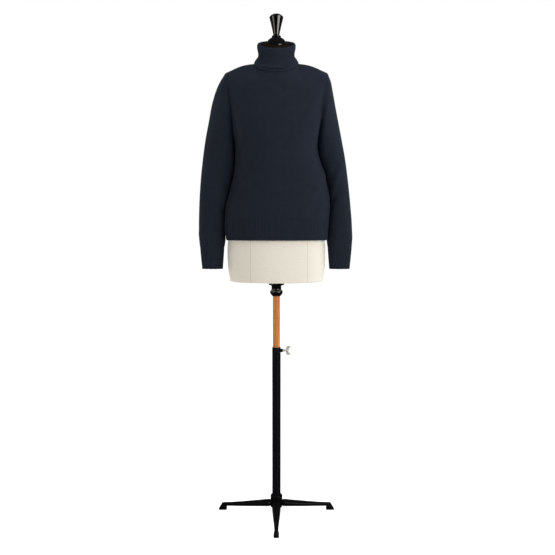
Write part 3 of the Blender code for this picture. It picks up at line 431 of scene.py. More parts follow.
def grid_normals(points, around=False):
    """Normals of a grid of points, with rows going up and columns going round."""
    if around:
        padded = np.concatenate([points[:, -1:], points, points[:, :1]], axis=1)
        along = padded[:, 2:] - padded[:, :-2]
    else:
        along = np.gradient(points, axis=1)
    return unit(np.cross(along, np.gradient(points, axis=0)))


def smooth_rows(lines, spacing, corner=None, corner_row=None, closed=False):
    """A smooth surface through the given rows, and the place of each given row in it.

    Between rows it follows cubic curves. At corner_row the curve may turn sharply where
    corner is 1, as a panel's edge does at the underarm.
    """
    lines = np.asarray(lines)
    if closed:
        lines = np.concatenate([lines[-1:], lines, lines[:2]])
    steps = np.linalg.norm(np.diff(lines, axis=0), axis=-1).mean(axis=1)
    slopes = np.diff(lines, axis=0) / steps[:, None, None]
    before = np.concatenate([slopes[:1], slopes])
    after = np.concatenate([slopes, slopes[-1:]])
    h_before = np.concatenate([steps[:1], steps])[:, None, None]
    h_after = np.concatenate([steps, steps[-1:]])[:, None, None]
    middle = (before * h_after + after * h_before) / (h_before + h_after)
    leaving, arriving = middle.copy(), middle.copy()
    if corner is not None:
        share = corner[:, None]
        leaving[corner_row] = middle[corner_row] * (1 - share) + after[corner_row] * share
        arriving[corner_row] = middle[corner_row] * (1 - share) + before[corner_row] * share
    first, last = (1, len(lines) - 2) if closed else (0, len(lines) - 1)
    rows, places = [], []
    for k in range(first, last):
        count = max(2, round(steps[k] / spacing))
        places.append(len(rows))
        for t in np.arange(count) / count:
            a = (2 * t ** 3 - 3 * t ** 2 + 1) * lines[k]
            b = (t ** 3 - 2 * t ** 2 + t) * steps[k] * leaving[k]
            c = (-2 * t ** 3 + 3 * t ** 2) * lines[k + 1]
            d = (t ** 3 - t ** 2) * steps[k] * arriving[k + 1]
            rows.append(a + b + c + d)
    if not closed:
        places.append(len(rows))
        rows.append(lines[-1])
    return np.stack(rows), places


def across(row, s):
    """Points of a row for s from -1 at the wearer's right edge to 1 at the left."""
    turn = radians(row.turn)
    side = np.sin(s * turn) / sin(turn)
    front = (np.cos(s * turn) - cos(turn)) / (1 - cos(turn))
    x = np.where(s < 0, row.right, row.left) * side
    y = row.y_edge + (row.y_mid - row.y_edge) * np.clip(front, 0, 1) ** row.full
    z = row.z_mid + (row.z_edge - row.z_mid) * side ** 2
    return np.stack([x, y, z], axis=-1)


def along_yoke(yoke, s, facing):
    """Points of a yoke row; facing is -1 on the front and 1 on the back."""
    angle = radians(yoke.corner) * np.clip(s / NECK_SHARE, -1, 1)
    y = yoke.centre_y + facing * yoke.depth * np.cos(angle)
    neck = np.stack([yoke.half * np.sin(angle), y,
                     yoke.side_z + yoke.rise * (y - yoke.centre_y)], axis=-1)
    out = np.clip((np.abs(s) - NECK_SHARE) / (1 - NECK_SHARE), 0, 1)[:, None]
    tip = np.stack([np.sign(s) * yoke.tip_x, np.full_like(s, yoke.tip_y),
                    np.full_like(s, yoke.tip_z)], axis=-1)
    points = neck * (1 - out) + tip * out
    points[:, 2] += yoke.arch * np.sin(pi * out[:, 0])
    return points


# %% Meshes from grids
RIM_ANGLE = radians(62)    # a wall's cut rim meets its faces sharply; ribs and folds stay smooth


def arc_lengths(points, axis):
    """Distance along one axis of a grid, from its start."""
    steps = np.linalg.norm(np.diff(points, axis=axis), axis=-1)
    start = np.zeros_like(np.take(steps, [0], axis=axis))
    return np.concatenate([start, np.cumsum(steps, axis=axis)], axis=axis)


def cloth_piece(name, section, uv, around, sides=None):
    """A knitted wall from a closed section of rows, up its outer face and down its inner one.

    uv holds each point's distances round and along the piece. A tube's uv has one column more,
    where the pattern meets its own start. A flat piece's sides are closed: sides is the number
    of rows on each face, and any rows after the inner ones round its lower edge.
    """
    rows, columns = section.shape[:2]
    width = columns if around else columns - 1
    i, j = np.meshgrid(np.arange(rows), np.arange(width), indexing="ij")
    corner_rows = np.stack([i, i, i + 1, i + 1], axis=-1).reshape(-1, 4)
    corner_columns = np.stack([j, j + 1, j + 1, j], axis=-1).reshape(-1, 4)
    index = (corner_rows % rows) * columns + corner_columns % columns
    faces = index.tolist()
    uvs = uv[corner_rows % rows, corner_columns].reshape(-1, 2)
    if not around:
        caps = []
        for column in (0, columns - 1):
            for k in range(sides - 1):
                caps.append([k, k + 1, 2 * sides - 2 - k, 2 * sides - 1 - k])
            caps.append([0] + list(range(2 * sides - 1, rows)))
            caps[-sides:] = [[row * columns + column for row in cap] for cap in caps[-sides:]]
        faces += caps
        loose = np.concatenate([np.array(cap) for cap in caps])
        uvs = np.concatenate([uvs, uv[loose // columns, loose % columns]])
    mesh = bpy.data.meshes.new(name)
    mesh.from_pydata(section.reshape(-1, 3).tolist(), [], faces)
    layer = mesh.uv_layers.new(name="knit")
    layer.data.foreach_set("uv", uvs.astype(np.float32).ravel())
    sheet = bmesh.new()
    sheet.from_mesh(mesh)
    bmesh.ops.recalc_face_normals(sheet, faces=sheet.faces)
    sheet.to_mesh(mesh)
    sheet.free()
    mesh.shade_smooth()
    mesh.set_sharp_from_angle(angle=RIM_ANGLE)
    piece = bpy.data.objects.new(name, mesh)
    bpy.context.scene.collection.objects.link(piece)
    print(name, "faces:", len(mesh.polygons))
    return piece


def round_edge(outer, inner, down, steps=3):
    """Rows that round a free edge, from the inner face back to the outer one."""
    middle = (outer + inner) / 2
    half = (outer - inner) / 2
    bulge = 0.8 * np.linalg.norm(half, axis=-1, keepdims=True) * down
    turns = [pi * (1 - k / (steps + 1)) for k in range(1, steps + 1)]
    return np.stack([middle + half * cos(t) + bulge * sin(t) for t in turns])


def closed_section(outer, inner, edge=None):
    """The rows of a wall's section in order, from the foot of its outer face."""
    parts = [outer, inner[::-1]]
    return np.concatenate(parts + ([edge] if edge is not None else []))


# %% [markdown]
# ## Creases
#
# A fine wool sweater on a form hangs nearly plain, with a few long soft folds: troughs that run
# from the underarm towards the neck, a ridge down the side of the bust, slack above the hem and
# a drag from the shoulder blades. Each one is placed. A crease is a soft bell across a
# slanting line, with a depth above zero for a ridge and below it for a trough.

# %% Creases
Fold = namedtuple("Fold", "x z lean reach width depth")
PANEL_FOLDS = {
    "front": [
        Fold(0.1300, 1.300, 8, 0.070, 0.016, 3.0 * MM),
        Fold(0.1580, 1.190, 20, 0.080, 0.016, 4.0 * MM),
        Fold(0.1350, 1.085, 24, 0.055, 0.022, -5.0 * MM),
        Fold(-0.1330, 1.120, -18, 0.070, 0.020, -4.0 * MM),
        Fold(-0.1250, 1.220, 30, 0.045, 0.018, -3.0 * MM),
        Fold(-0.1390, 1.330, -13, 0.062, 0.011, -6.0 * MM),
        Fold(-0.1130, 1.325, -14, 0.060, 0.016, 3.0 * MM),
        Fold(0.1480, 1.325, 14, 0.060, 0.010, -6.0 * MM),
        Fold(-0.1250, 1.400, -28, 0.060, 0.014, 2.0 * MM),
        Fold(0.1230, 1.410, 26, 0.060, 0.014, 2.0 * MM),
        Fold(-0.0850, 1.475, -62, 0.055, 0.013, -1.5 * MM),
        Fold(0.0880, 1.470, 58, 0.050, 0.012, -1.5 * MM),
        Fold(-0.0550, 1.115, 70, 0.075, 0.014, -1.5 * MM),
        Fold(0.0450, 1.090, -76, 0.080, 0.012, -1.4 * MM),
        Fold(0.0700, 1.175, -64, 0.055, 0.014, 1.3 * MM),
    ],
    "back": [
        Fold(0.1100, 1.200, -35, 0.060, 0.020, -4.0 * MM),
        Fold(-0.1050, 1.150, 30, 0.070, 0.022, -4.0 * MM),
        Fold(-0.0300, 1.120, 75, 0.060, 0.018, -3.0 * MM),
        Fold(0.1340, 1.360, 16, 0.060, 0.013, -3.2 * MM),
        Fold(-0.1360, 1.350, -14, 0.065, 0.013, -3.0 * MM),
        Fold(0.0500, 1.250, -68, 0.080, 0.016, -2.2 * MM),
        Fold(-0.0400, 1.215, 66, 0.085, 0.015, 2.0 * MM),
        Fold(0.0650, 1.165, -72, 0.060, 0.013, 1.8 * MM),
        Fold(-0.1150, 1.240, 42, 0.050, 0.014, 2.0 * MM),
        Fold(0.0900, 1.090, 60, 0.055, 0.014, -1.8 * MM),
        Fold(-0.0750, 1.450, -55, 0.060, 0.014, -1.4 * MM),
    ],
}


FOLD_FADE = 20 * MM        # a panel's folds grow over this height above its lowest row
FORM_GAP = 0.8 * MM        # what stays between the linen and the cloth's inner face
FORM_SOFTNESS = 0.8 * MM   # how gently cloth comes to rest on the linen
CONTACT_REACH = 6          # softnesses beyond which a contact isn't felt


def press_folds(points, normals, folds, free):
    """Push a panel in or out along its folds, fading to nothing at its lowest row."""
    height = np.zeros(points.shape[:2])
    for fold in folds:
        lean = radians(fold.lean)
        run_x, run_z = sin(lean), cos(lean)
        dx = points[..., 0] - fold.x
        dz = points[..., 2] - fold.z
        run = dx * run_x + dz * run_z
        off = dx * run_z - dz * run_x
        height += fold.depth * np.exp(-(run / fold.reach) ** 2 - (off / fold.width) ** 2)
    fade = np.clip((points[..., 2] - points[0, :, 2][None, :]) / FOLD_FADE, 0, 1)
    return points + normals * (height * fade * free)[..., None]


def rested(depth):
    """How far to move cloth that is this deep in a contact, in softnesses."""
    return np.logaddexp(0, depth)


def clear_of_form(points):
    """Lift cloth that a fold pressed into the form until its inner face lies on the linen."""
    lifted = points.copy()
    for k, j in np.ndindex(points.shape[:2]):
        at = Vector(points[k, j])
        near, away = form_tree.find_nearest(at)[:2]
        short = (WALL + FORM_GAP - (at - near).dot(away)) / FORM_SOFTNESS
        if short > -CONTACT_REACH:
            lifted[k, j] += np.array(away) * FORM_SOFTNESS * rested(short)
    return lifted


print("folds:", {name: len(folds) for name, folds in PANEL_FOLDS.items()})

# %% Creases across the sleeves
# A crease's place is a share of the way down, its angle runs from the outside over the front
Crease = namedtuple("Crease", "place angle slant width spread depth")
CREASE_START = 0.06        # creases grow over this share of a sleeve's length below the armhole
CREASE_END = 0.03          # and fade over this share above the cuff
SLEEVE_FOLDS = {
    "right": [
        Crease(0.44, 130, 0.030, 0.045, 60, -3.5 * MM),
        Crease(0.55, 110, -0.030, 0.050, 55, 2.5 * MM),
        Crease(0.66, 135, 0.040, 0.045, 60, -3.0 * MM),
        Crease(0.55, 250, 0.030, 0.050, 60, -3.0 * MM),
        Crease(0.15, 98, 0.000, 0.100, 30, 4.5 * MM),
        Crease(0.30, 60, -0.050, 0.050, 35, 1.5 * MM),
        Crease(0.78, 80, -0.020, 0.030, 50, -1.5 * MM),
        Crease(0.86, 140, 0.020, 0.025, 60, -2.0 * MM),
        Crease(0.93, 60, 0.010, 0.018, 70, 1.6 * MM),
        Crease(0.70, 260, -0.030, 0.035, 50, 2.0 * MM),
        Crease(0.35, 265, 0.040, 0.045, 45, -2.2 * MM),
    ],
    "left": [
        Crease(0.42, 120, -0.030, 0.050, 60, -3.0 * MM),
        Crease(0.60, 130, 0.040, 0.050, 60, -3.5 * MM),
        Crease(0.52, 245, -0.030, 0.050, 60, -3.0 * MM),
        Crease(0.14, 100, 0.000, 0.090, 30, 4.0 * MM),
        Crease(0.50, 80, 0.030, 0.040, 40, 1.8 * MM),
        Crease(0.73, 90, -0.025, 0.030, 55, -1.6 * MM),
        Crease(0.84, 130, 0.020, 0.025, 60, -2.0 * MM),
        Crease(0.92, 70, -0.010, 0.018, 70, 1.6 * MM),
        Crease(0.68, 270, 0.030, 0.035, 50, 2.0 * MM),
        Crease(0.36, 255, -0.040, 0.045, 45, -2.2 * MM),
    ],
}


def press_creases(rings, normals, angles, creases):
    """Push a sleeve in or out along its creases; place runs from 0 at the armhole to 1."""
    place = arc_lengths(rings, 0).mean(axis=1)
    place = (place / place[-1])[:, None]
    height = np.zeros(rings.shape[:2])
    for crease in creases:
        off = np.angle(np.exp(1j * (angles[None, :] - radians(crease.angle))))
        run = place - crease.place - crease.slant * off
        spread = radians(crease.spread)
        height += crease.depth * np.exp(-(run / crease.width) ** 2 - (off / spread) ** 2)
    fade = np.clip(place / CREASE_START, 0, 1) * np.clip((1 - place) / CREASE_END, 0, 1)
    return rings + normals * (height * fade)[..., None]


print("creases:", {wearer: len(creases) for wearer, creases in SLEEVE_FOLDS.items()})

# %% [markdown]
# ## Front and back
#
# The front and back meet at side and shoulder seams. A linked seam in fine knitwear shows as a
# narrow dip, so the surface sinks about a millimetre within a few millimetres of each edge.

# %% Columns across a panel
NECK_COLUMNS = 37          # from the middle to the neck's corner
SIDE_COLUMNS = 41          # from there to the edge
CROWDING = 1.5             # how much closer together they get towards the edge


def panel_places():
    """Places across a panel, closer together near its edges, with one at each neck corner."""
    middle = np.linspace(0, NECK_SHARE, NECK_COLUMNS)
    outer = 1 - (1 - NECK_SHARE) * (1 - np.linspace(0, 1, SIDE_COLUMNS)) ** CROWDING
    half = np.concatenate([middle[:-1], outer])
    return np.concatenate([-half[:0:-1], half])


PLACES = panel_places()
SEAM_DIP = 0.9 * MM
SEAM_WIDTH = 3.0 * MM
INNER_DIP = 0.6            # the cloth's inner face sinks less, by this share
CLOTH_SPACING = 4.0 * MM
CORNER_SHARE = 0.2         # the share of a half row that turns sharply at the underarm
YOKE_SOFTENING = 32        # passes that even out the turn from the chest to the shoulder
EDGE_KEEP = 0.15           # the share of a half row, at its edge, that they leave more and more
SEAM_KEEP = 9              # and the number of rows below the neck seam
SIDE_HOLD = 0.12           # the share of a half row that a side seam holds still
HOLD_ROWS = 6              # above the underarm that hold ends within this number of rows
print("columns across a panel:", len(PLACES))


def seam_dip(distance):
    """How deep the cloth sinks at a distance from a seam."""
    return SEAM_DIP * np.exp(-(distance / SEAM_WIDTH) ** 2)


# %% Shape both panels
def panel(name, facing):
    """Smooth points of a panel, and the fine row where its armholes begin."""
    s = PLACES if facing < 0 else PLACES[::-1]
    lines = [across(row, s) for row in PANEL_ROWS[name]]
    lines += [along_yoke(yoke, s, facing) for yoke in YOKES[name]]
    corner = np.clip((np.abs(s) - 1 + CORNER_SHARE) / CORNER_SHARE, 0, 1) ** 2
    points, places = smooth_rows(lines, CLOTH_SPACING, corner, UNDERARM)
    near_edge = np.clip((np.abs(s) - 1 + EDGE_KEEP) / EDGE_KEEP, 0, 1)[None, :, None]
    near_seam = np.clip(1 - (len(points) - 1 - np.arange(len(points))) / SEAM_KEEP, 0, 1)
    keep = np.maximum(near_edge, near_seam[:, None, None])
    for _ in range(YOKE_SOFTENING):
        even = points.copy()
        even[1:-1] = points[:-2] / 4 + points[1:-1] / 2 + points[2:] / 4
        points = points * keep + even * (1 - keep)
    return points, places[UNDERARM]


panels = {}
for name, facing in (("front", -1), ("back", 1)):
    points, underarm = panel(name, facing)
    normals = grid_normals(points)
    normals[0, :, 2] = 0
    panels[name] = {"points": points, "normals": unit(normals), "underarm": underarm}
    print(name, "grid:", points.shape[:2], "underarm row:", underarm)


# %% Shared edges
def match_edges(front, back):
    """Give the front and back one line and one normal along their side seams."""
    low_front, low_back = front["underarm"] + 1, back["underarm"] + 1
    assert low_front == low_back
    for column in (0, -1):
        other = -1 if column == 0 else 0
        both = (front["points"][:low_front, column] + back["points"][:low_back, other]) / 2
        facing = unit(front["normals"][:low_front, column] + back["normals"][:low_back, other])
        front["points"][:low_front, column] = both
        back["points"][:low_back, other] = both
        front["normals"][:low_front, column] = facing
        back["normals"][:low_back, other] = facing


def match_shoulders(front, back):
    """Give both panels one normal along the shoulder seams, and lie flat at the neck seam."""
    centre = np.array([0.0, NECK_CENTRE_Y, NECK_SIDE_Z])
    on_neck = np.abs(PLACES) <= NECK_SHARE + 1e-6
    both = unit(front["normals"][-1] + back["normals"][-1, ::-1])
    for panel_data, facing in ((front, both), (back, both[::-1])):
        level = unit(panel_data["points"][-1] - centre)
        panel_data["normals"][-1] = np.where(on_neck[:, None], level, facing)


match_edges(panels["front"], panels["back"])
match_shoulders(panels["front"], panels["back"])


# %% Build both panels
def freedom(rows, underarm):
    """How far a fold may move each point: not at all at a side seam, fully elsewhere."""
    edge = np.clip((1 - np.abs(PLACES)) / SIDE_HOLD, 0, 1)
    edge = (edge * edge * (3 - 2 * edge))[None, :]
    above = np.clip((np.arange(rows) - underarm - 1) / HOLD_ROWS, 0, 1)[:, None]
    return edge * (1 - above) + above


def build_panel(name):
    data = panels[name]
    free = freedom(len(data["points"]), data["underarm"])
    points = press_folds(data["points"], data["normals"], PANEL_FOLDS[name], free)
    points = clear_of_form(points)
    data["edge_points"] = points.copy()
    run = arc_lengths(points, 1)
    middle = run[:, run.shape[1] // 2][:, None]
    up = arc_lengths(points, 0)
    from_side = np.minimum(run, run[:, -1:] - run)
    from_top = up[-1:] - up
    dip = seam_dip(from_side) + seam_dip(from_top)
    outer = points - data["normals"] * np.minimum(dip, SEAM_DIP)[..., None]
    inner = points - data["normals"] * (
        WALL + INNER_DIP * np.minimum(dip, SEAM_DIP))[..., None]
    uv = np.stack([run - middle, up], axis=-1)
    piece = cloth_piece("knit_" + name, closed_section(outer, inner), closed_section(uv, uv),
                        around=False, sides=len(outer))
    return piece, float(run[:, -1].max()), float(up.max())


knit = {}
for name in ("front", "back"):
    piece, width, length = build_panel(name)
    knit[name] = piece
    print(name, "widest mm:", round(width * 1000), "longest mm:", round(length * 1000))

# %% [markdown]
# ## Rib bands
#
# A two-by-two rib has two knit stitches that stand out and two purl stitches that sink, in
# turn. The bands at the hem and cuffs and the folded collar all have it. Here each rib is real
# relief. It starts softly where the plain knit ends, and its free edge is rounded.

# %% Rib profile
RIB_COLUMNS = 8            # columns of faces in one rib and its valley
RIB_EDGE = 2.2             # how square a rib's side is
RIB_FADE = 7 * MM
RIB_INSIDE = 0.25          # the share of a rib's height that shows on the inner face
BAND_SPACING = 3.0 * MM
FINE_STEPS = 400           # points on the line that a band's ribs are spread along


def rib_wave(count):
    """A rib's height round a band of that many ribs, from -1 in a valley to 1 on a rib."""
    phase = 2 * pi * np.arange(count * RIB_COLUMNS + 1) / RIB_COLUMNS
    return np.tanh(RIB_EDGE * np.cos(phase)) / np.tanh(RIB_EDGE)


def rib_band(name, lines, count, around):
    """A rib band from its lower line to its upper line, given at the rib columns."""
    points, _ = smooth_rows(lines, BAND_SPACING)
    normals = grid_normals(points, around)
    normals = outward(points, normals) if around else normals
    normals[..., 2] = 0
    normals = unit(normals)
    wave = rib_wave(count)
    wave = wave[:-1] if around else wave
    down = arc_lengths(points, 0)
    fade = np.clip((down[-1:] - down) / RIB_FADE, 0, 1)
    height = RIB_RAISE / 2 * wave[None, :] * fade
    outer = points + normals * height[..., None]
    inside = RIB_INSIDE * RIB_RAISE * wave[None, :] * fade
    inner = points - normals * (WALL + inside)[..., None]
    edge = round_edge(outer[0], inner[0], np.array([0, 0, -1.0]))
    loop = np.concatenate([points, points[:, :1]], axis=1) if around else points
    run = arc_lengths(loop, 1)
    low = np.concatenate([down, down[:, :1]], axis=1) if around else down
    uv = np.stack([run, low], axis=-1)
    piece = cloth_piece(name, closed_section(outer, inner, edge),
                        closed_section(uv, uv, np.repeat(uv[:1], len(edge), axis=0)),
                        around, sides=len(outer))
    return piece, float(run[:, -1].max()), float(down.max())


# %% Hem
def even_places(line, count):
    """Fractions along a fine line at equal distances."""
    run = np.concatenate([[0], np.cumsum(np.linalg.norm(np.diff(line, axis=0), axis=1))])
    return np.interp(np.linspace(0, run[-1], count + 1), run, np.linspace(0, 1, len(line)))


def build_hem(name, facing):
    rows = HEM_ROWS[name]
    s_fine = np.linspace(facing, -facing, FINE_STEPS)
    line = across(rows[-1], s_fine)
    girth = np.linalg.norm(np.diff(line, axis=0), axis=1).sum()
    count = round(girth / RIB_PITCH)
    s = facing * (1 - 2 * even_places(line, count * RIB_COLUMNS))
    lines = [across(row, s) for row in rows]
    return rib_band("knit_hem_rib_" + name, lines, count, around=False)


for name, facing in (("front", -1), ("back", 1)):
    knit["hem_rib_" + name], width, length = build_hem(name, facing)

# %% [markdown]
# ## Sleeves
#
# Each sleeve is a tube that starts on the armhole's own line, so its first ring is read from the
# edges of the front and back. The next rings lean over from the shoulder and hang beside the
# body. Going round, a ring starts at its outermost point and passes over the front.

# %% Armholes and rings
SLEEVE_COLUMNS = 128
TURN_STEP = 1.6 * MM


def armhole(side, key):
    """The armhole's line: from the shoulder down the front edge, then up the back edge."""
    near = 0 if side < 0 else -1
    far = -1 if side < 0 else 0
    front, back = panels["front"], panels["back"]
    down = front[key][:front["underarm"] - 1:-1, near]
    up = back[key][back["underarm"]:, far]
    half = SLEEVE_COLUMNS // 2
    shape = front["edge_points"][:front["underarm"] - 1:-1, near]
    behind = back["edge_points"][back["underarm"]:, far]
    along_down = np.concatenate([shape, down], axis=1)
    along_up = np.concatenate([behind, up], axis=1)
    return np.concatenate([even_by_place(along_down, half), even_by_place(along_up, half)])[:, 3:]


def even_by_place(rows, count):
    """Rows of place and value, taken at equal distances of place."""
    steps = np.linalg.norm(np.diff(rows[:, :3], axis=0), axis=1)
    run = np.concatenate([[0], np.cumsum(steps)])
    at = np.linspace(0, run[-1], count + 1)[:-1]
    return np.stack([np.interp(at, run, rows[:, k]) for k in range(rows.shape[1])], axis=-1)


def sleeve_ring(ring, side, angles):
    """One section of a sleeve, from its outer point round its front to its inner point."""
    outer = np.array([side * ring.outer_x, 0, ring.outer_z])
    inner = np.array([side * ring.inner_x, 0, ring.inner_z])
    depth = np.where(np.sin(angles) > 0, ring.front, ring.back)
    points = (outer + inner) / 2 + np.cos(angles)[:, None] * (outer - inner) / 2
    points[:, 1] -= depth * np.sin(angles)
    return points


def outward(points, normals):
    """Turn a tube's normals so that they point away from its middle."""
    middle = points.mean(axis=1, keepdims=True)
    return normals if ((points - middle) * normals).sum() > 0 else -normals


# %% Where a sleeve rests on the body
TOUCH_GAP = 0.5 * MM       # what stays between a sleeve and the body
TOUCH_SOFTNESS = 1.5 * MM
TOUCH_TOP = 1.283          # just below the underarm
INNER_HALF = 0.2           # points whose angle has a smaller cosine can touch the body
OUTSIDE_X = 0.5            # well outside the sleeves, where the search for the body starts
NEAREST_X = 0.05           # the body's side is never nearer to the middle than this

solid_body = bmesh.new()
for name in ("front", "back", "hem_rib_front", "hem_rib_back"):
    solid_body.from_mesh(knit[name].data)
body_tree = BVHTree.FromBMesh(solid_body)
solid_body.free()


def rest_on_body(rings, side, angles):
    """Move the points of a sleeve's inner half out of the body's side, with a soft contact."""
    moved = rings.copy()
    for k, j in np.argwhere(rings[..., 2] < TOUCH_TOP):
        if cos(angles[j]) > INNER_HALF:
            continue
        x, y, z = rings[k, j]
        hit = body_tree.ray_cast(Vector((side * OUTSIDE_X, y, z)), Vector((-side, 0, 0)))[0]
        if hit is not None and hit.x * side > NEAREST_X:
            over = (side * x - side * hit.x - TOUCH_GAP) / TOUCH_SOFTNESS
            if over < CONTACT_REACH:
                clear = TOUCH_SOFTNESS * rested(over)
                moved[k, j, 0] = side * (side * hit.x + TOUCH_GAP + clear)
    return moved


# %% Build the sleeves
def build_sleeve(wearer):
    side = SIDES[wearer]
    rim = armhole(side, "edge_points")
    rim_normals = unit(armhole(side, "normals"))
    angles = np.linspace(0, 2 * pi, SLEEVE_COLUMNS, endpoint=False)
    tangent = unit(np.roll(rim, -1, axis=0) - np.roll(rim, 1, axis=0))
    away = unit(np.cross(tangent, rim_normals))
    away = -away if away[0, 0] * side < 0 else away
    lines = np.stack([sleeve_ring(ring, side, angles) for ring in SLEEVES[wearer]])
    first = outward(lines, grid_normals(lines, around=True))[0]
    facing = (rim_normals * first).sum(axis=1)[:, None]
    ahead = unit(away + unit(lines[0] - rim))
    turn = rim + ahead * TURN_STEP + rim_normals * TURN_STEP * (1 - facing) / 2
    rings, _ = smooth_rows(lines, CLOTH_SPACING)
    rings = np.concatenate([[rim + away * 2 * SEAM], [turn], rings])
    normals = outward(rings, grid_normals(rings, around=True))
    normals[0] = rim_normals
    rings = press_creases(rings, normals, angles, SLEEVE_FOLDS[wearer])
    rings = rest_on_body(rings, side, angles)
    normals = outward(rings, grid_normals(rings, around=True))
    normals[0] = rim_normals
    normals[1] = unit(rim_normals + normals[2])
    normals[-1, :, 2] = 0
    normals[-1] = unit(normals[-1])
    down = arc_lengths(rings, 0)
    dip = seam_dip(down)
    outer = rings - normals * dip[..., None]
    inner = rings - normals * (WALL + INNER_DIP * dip)[..., None]
    closed = np.concatenate([rings, rings[:, :1]], axis=1)
    run = arc_lengths(closed, 1)
    uv = np.stack([run, np.concatenate([down, down[:, :1]], axis=1)], axis=-1)
    piece = cloth_piece("knit_sleeve_" + wearer, closed_section(outer, inner),
                        closed_section(uv, uv), around=True)
    return piece, float(run[:, -1].max()), float(down.max())


for wearer in SIDES:
    piece, girth, length = build_sleeve(wearer)
    knit["sleeve_" + wearer] = piece
    print("sleeve", wearer, "girth mm:", round(girth * 1000), "length mm:", round(length * 1000))

# %% Cuffs
def build_cuff(wearer):
    side = SIDES[wearer]
    top, bottom = SLEEVES[wearer][-1], CUFF_BOTTOMS[wearer]
    angles = np.linspace(0, 2 * pi, FINE_STEPS)
    line = sleeve_ring(top, side, angles)
    count = round(np.linalg.norm(np.diff(line, axis=0), axis=1).sum() / RIB_PITCH)
    angles = 2 * pi * even_places(line, count * RIB_COLUMNS)[:-1]
    angles = angles[::-1] if side < 0 else angles
    lines = [sleeve_ring(bottom, side, angles), sleeve_ring(top, side, angles)]
    return rib_band("knit_cuff_" + wearer, lines, count, around=True)


for wearer in SIDES:
    knit["cuff_" + wearer], width, length = build_cuff(wearer)

# %% [markdown]
# ## The folded collar
#
# A turtleneck is a rib tube twice as tall as the neck, rolled over at its top. Its section is one
# closed line: up the standing part, over inside the roll, down and round the lower edge of the
# fold, back up the outside, over the crest and down inside to the neck seam.

# %% Build the collar
COLLAR_SPACING = 2.4 * MM


def neck_loop(loop, angles):
    """A loop round the neck; its angles start at the front and grow towards the left."""
    middle = (loop.front_y + loop.back_y) / 2
    reach = (loop.back_y - loop.front_y) / 2
    ahead = np.cos(angles)
    rise = np.where(ahead > 0, loop.front_z - loop.side_z, loop.side_z - loop.back_z)
    return np.stack([loop.half * np.sin(angles), middle - reach * ahead,
                     loop.side_z + rise * ahead], axis=-1)


def build_collar():
    count = COLLAR_RIBS * RIB_COLUMNS
    angles = np.linspace(0, 2 * pi, count, endpoint=False)
    lines = np.stack([neck_loop(loop, angles) for loop in COLLAR_LOOPS])
    lift = unit(np.array([0, -NECK_RISE, 1.0])) * 2 * SEAM
    lines[[0, -1]] += lift
    points, places = smooth_rows(lines, COLLAR_SPACING, closed=True)
    ribbed = [loop.rib for loop in COLLAR_LOOPS]
    weights = np.interp(np.arange(len(points)), places + [len(points)], ribbed + ribbed[:1])
    weights = weights[:, None]
    normals = grid_normals(np.concatenate([points[-1:], points, points[:1]]), around=True)[1:-1]
    ribs = rib_wave(COLLAR_RIBS)[:-1][None, :]
    points = points + normals * (COLLAR_RAISE / 2 * np.clip(weights, 0, 1) * ribs)[..., None]
    loop = np.concatenate([points, points[:, :1]], axis=1)
    run = arc_lengths(loop, 1)
    up = arc_lengths(loop, 0)
    piece = cloth_piece("knit_collar", points, np.stack([run, up], axis=-1), around=True)
    return piece, float(run[:, -1].max()), float(up.max()) / 2


knit["collar"], collar_girth, collar_height = build_collar()
print("collar girth mm:", round(collar_girth * 1000), "cloth height mm:",
      round(collar_height * 1000))

# %% [markdown]
# ## Materials
#
# Each finish starts from the real stuff. Wool jersey is matt with a soft nap, so it gets a
# little sheen and a stitch pattern on its own UV map, in metres, with painted shade in its
# grooves. Linen has uneven threads.
# Turned wood is lacquered black and reflects the lights as narrow streaks. The rod is varnished
# amber wood, and the plate on the neck is dark wood whose near-black brown is partly painted
# shade. The tube is painted steel, the base painted cast iron, and the screw is nickel.

# %% Wool knit
def new_material(name):
    """A named material and its Principled shader."""
    material = bpy.data.materials.new(name)
    material.use_nodes = True
    return material, material.node_tree.nodes["Principled BSDF"]


def set_inputs(shader, values):
    for name, value in values.items():
        shader.inputs[name].default_value = value


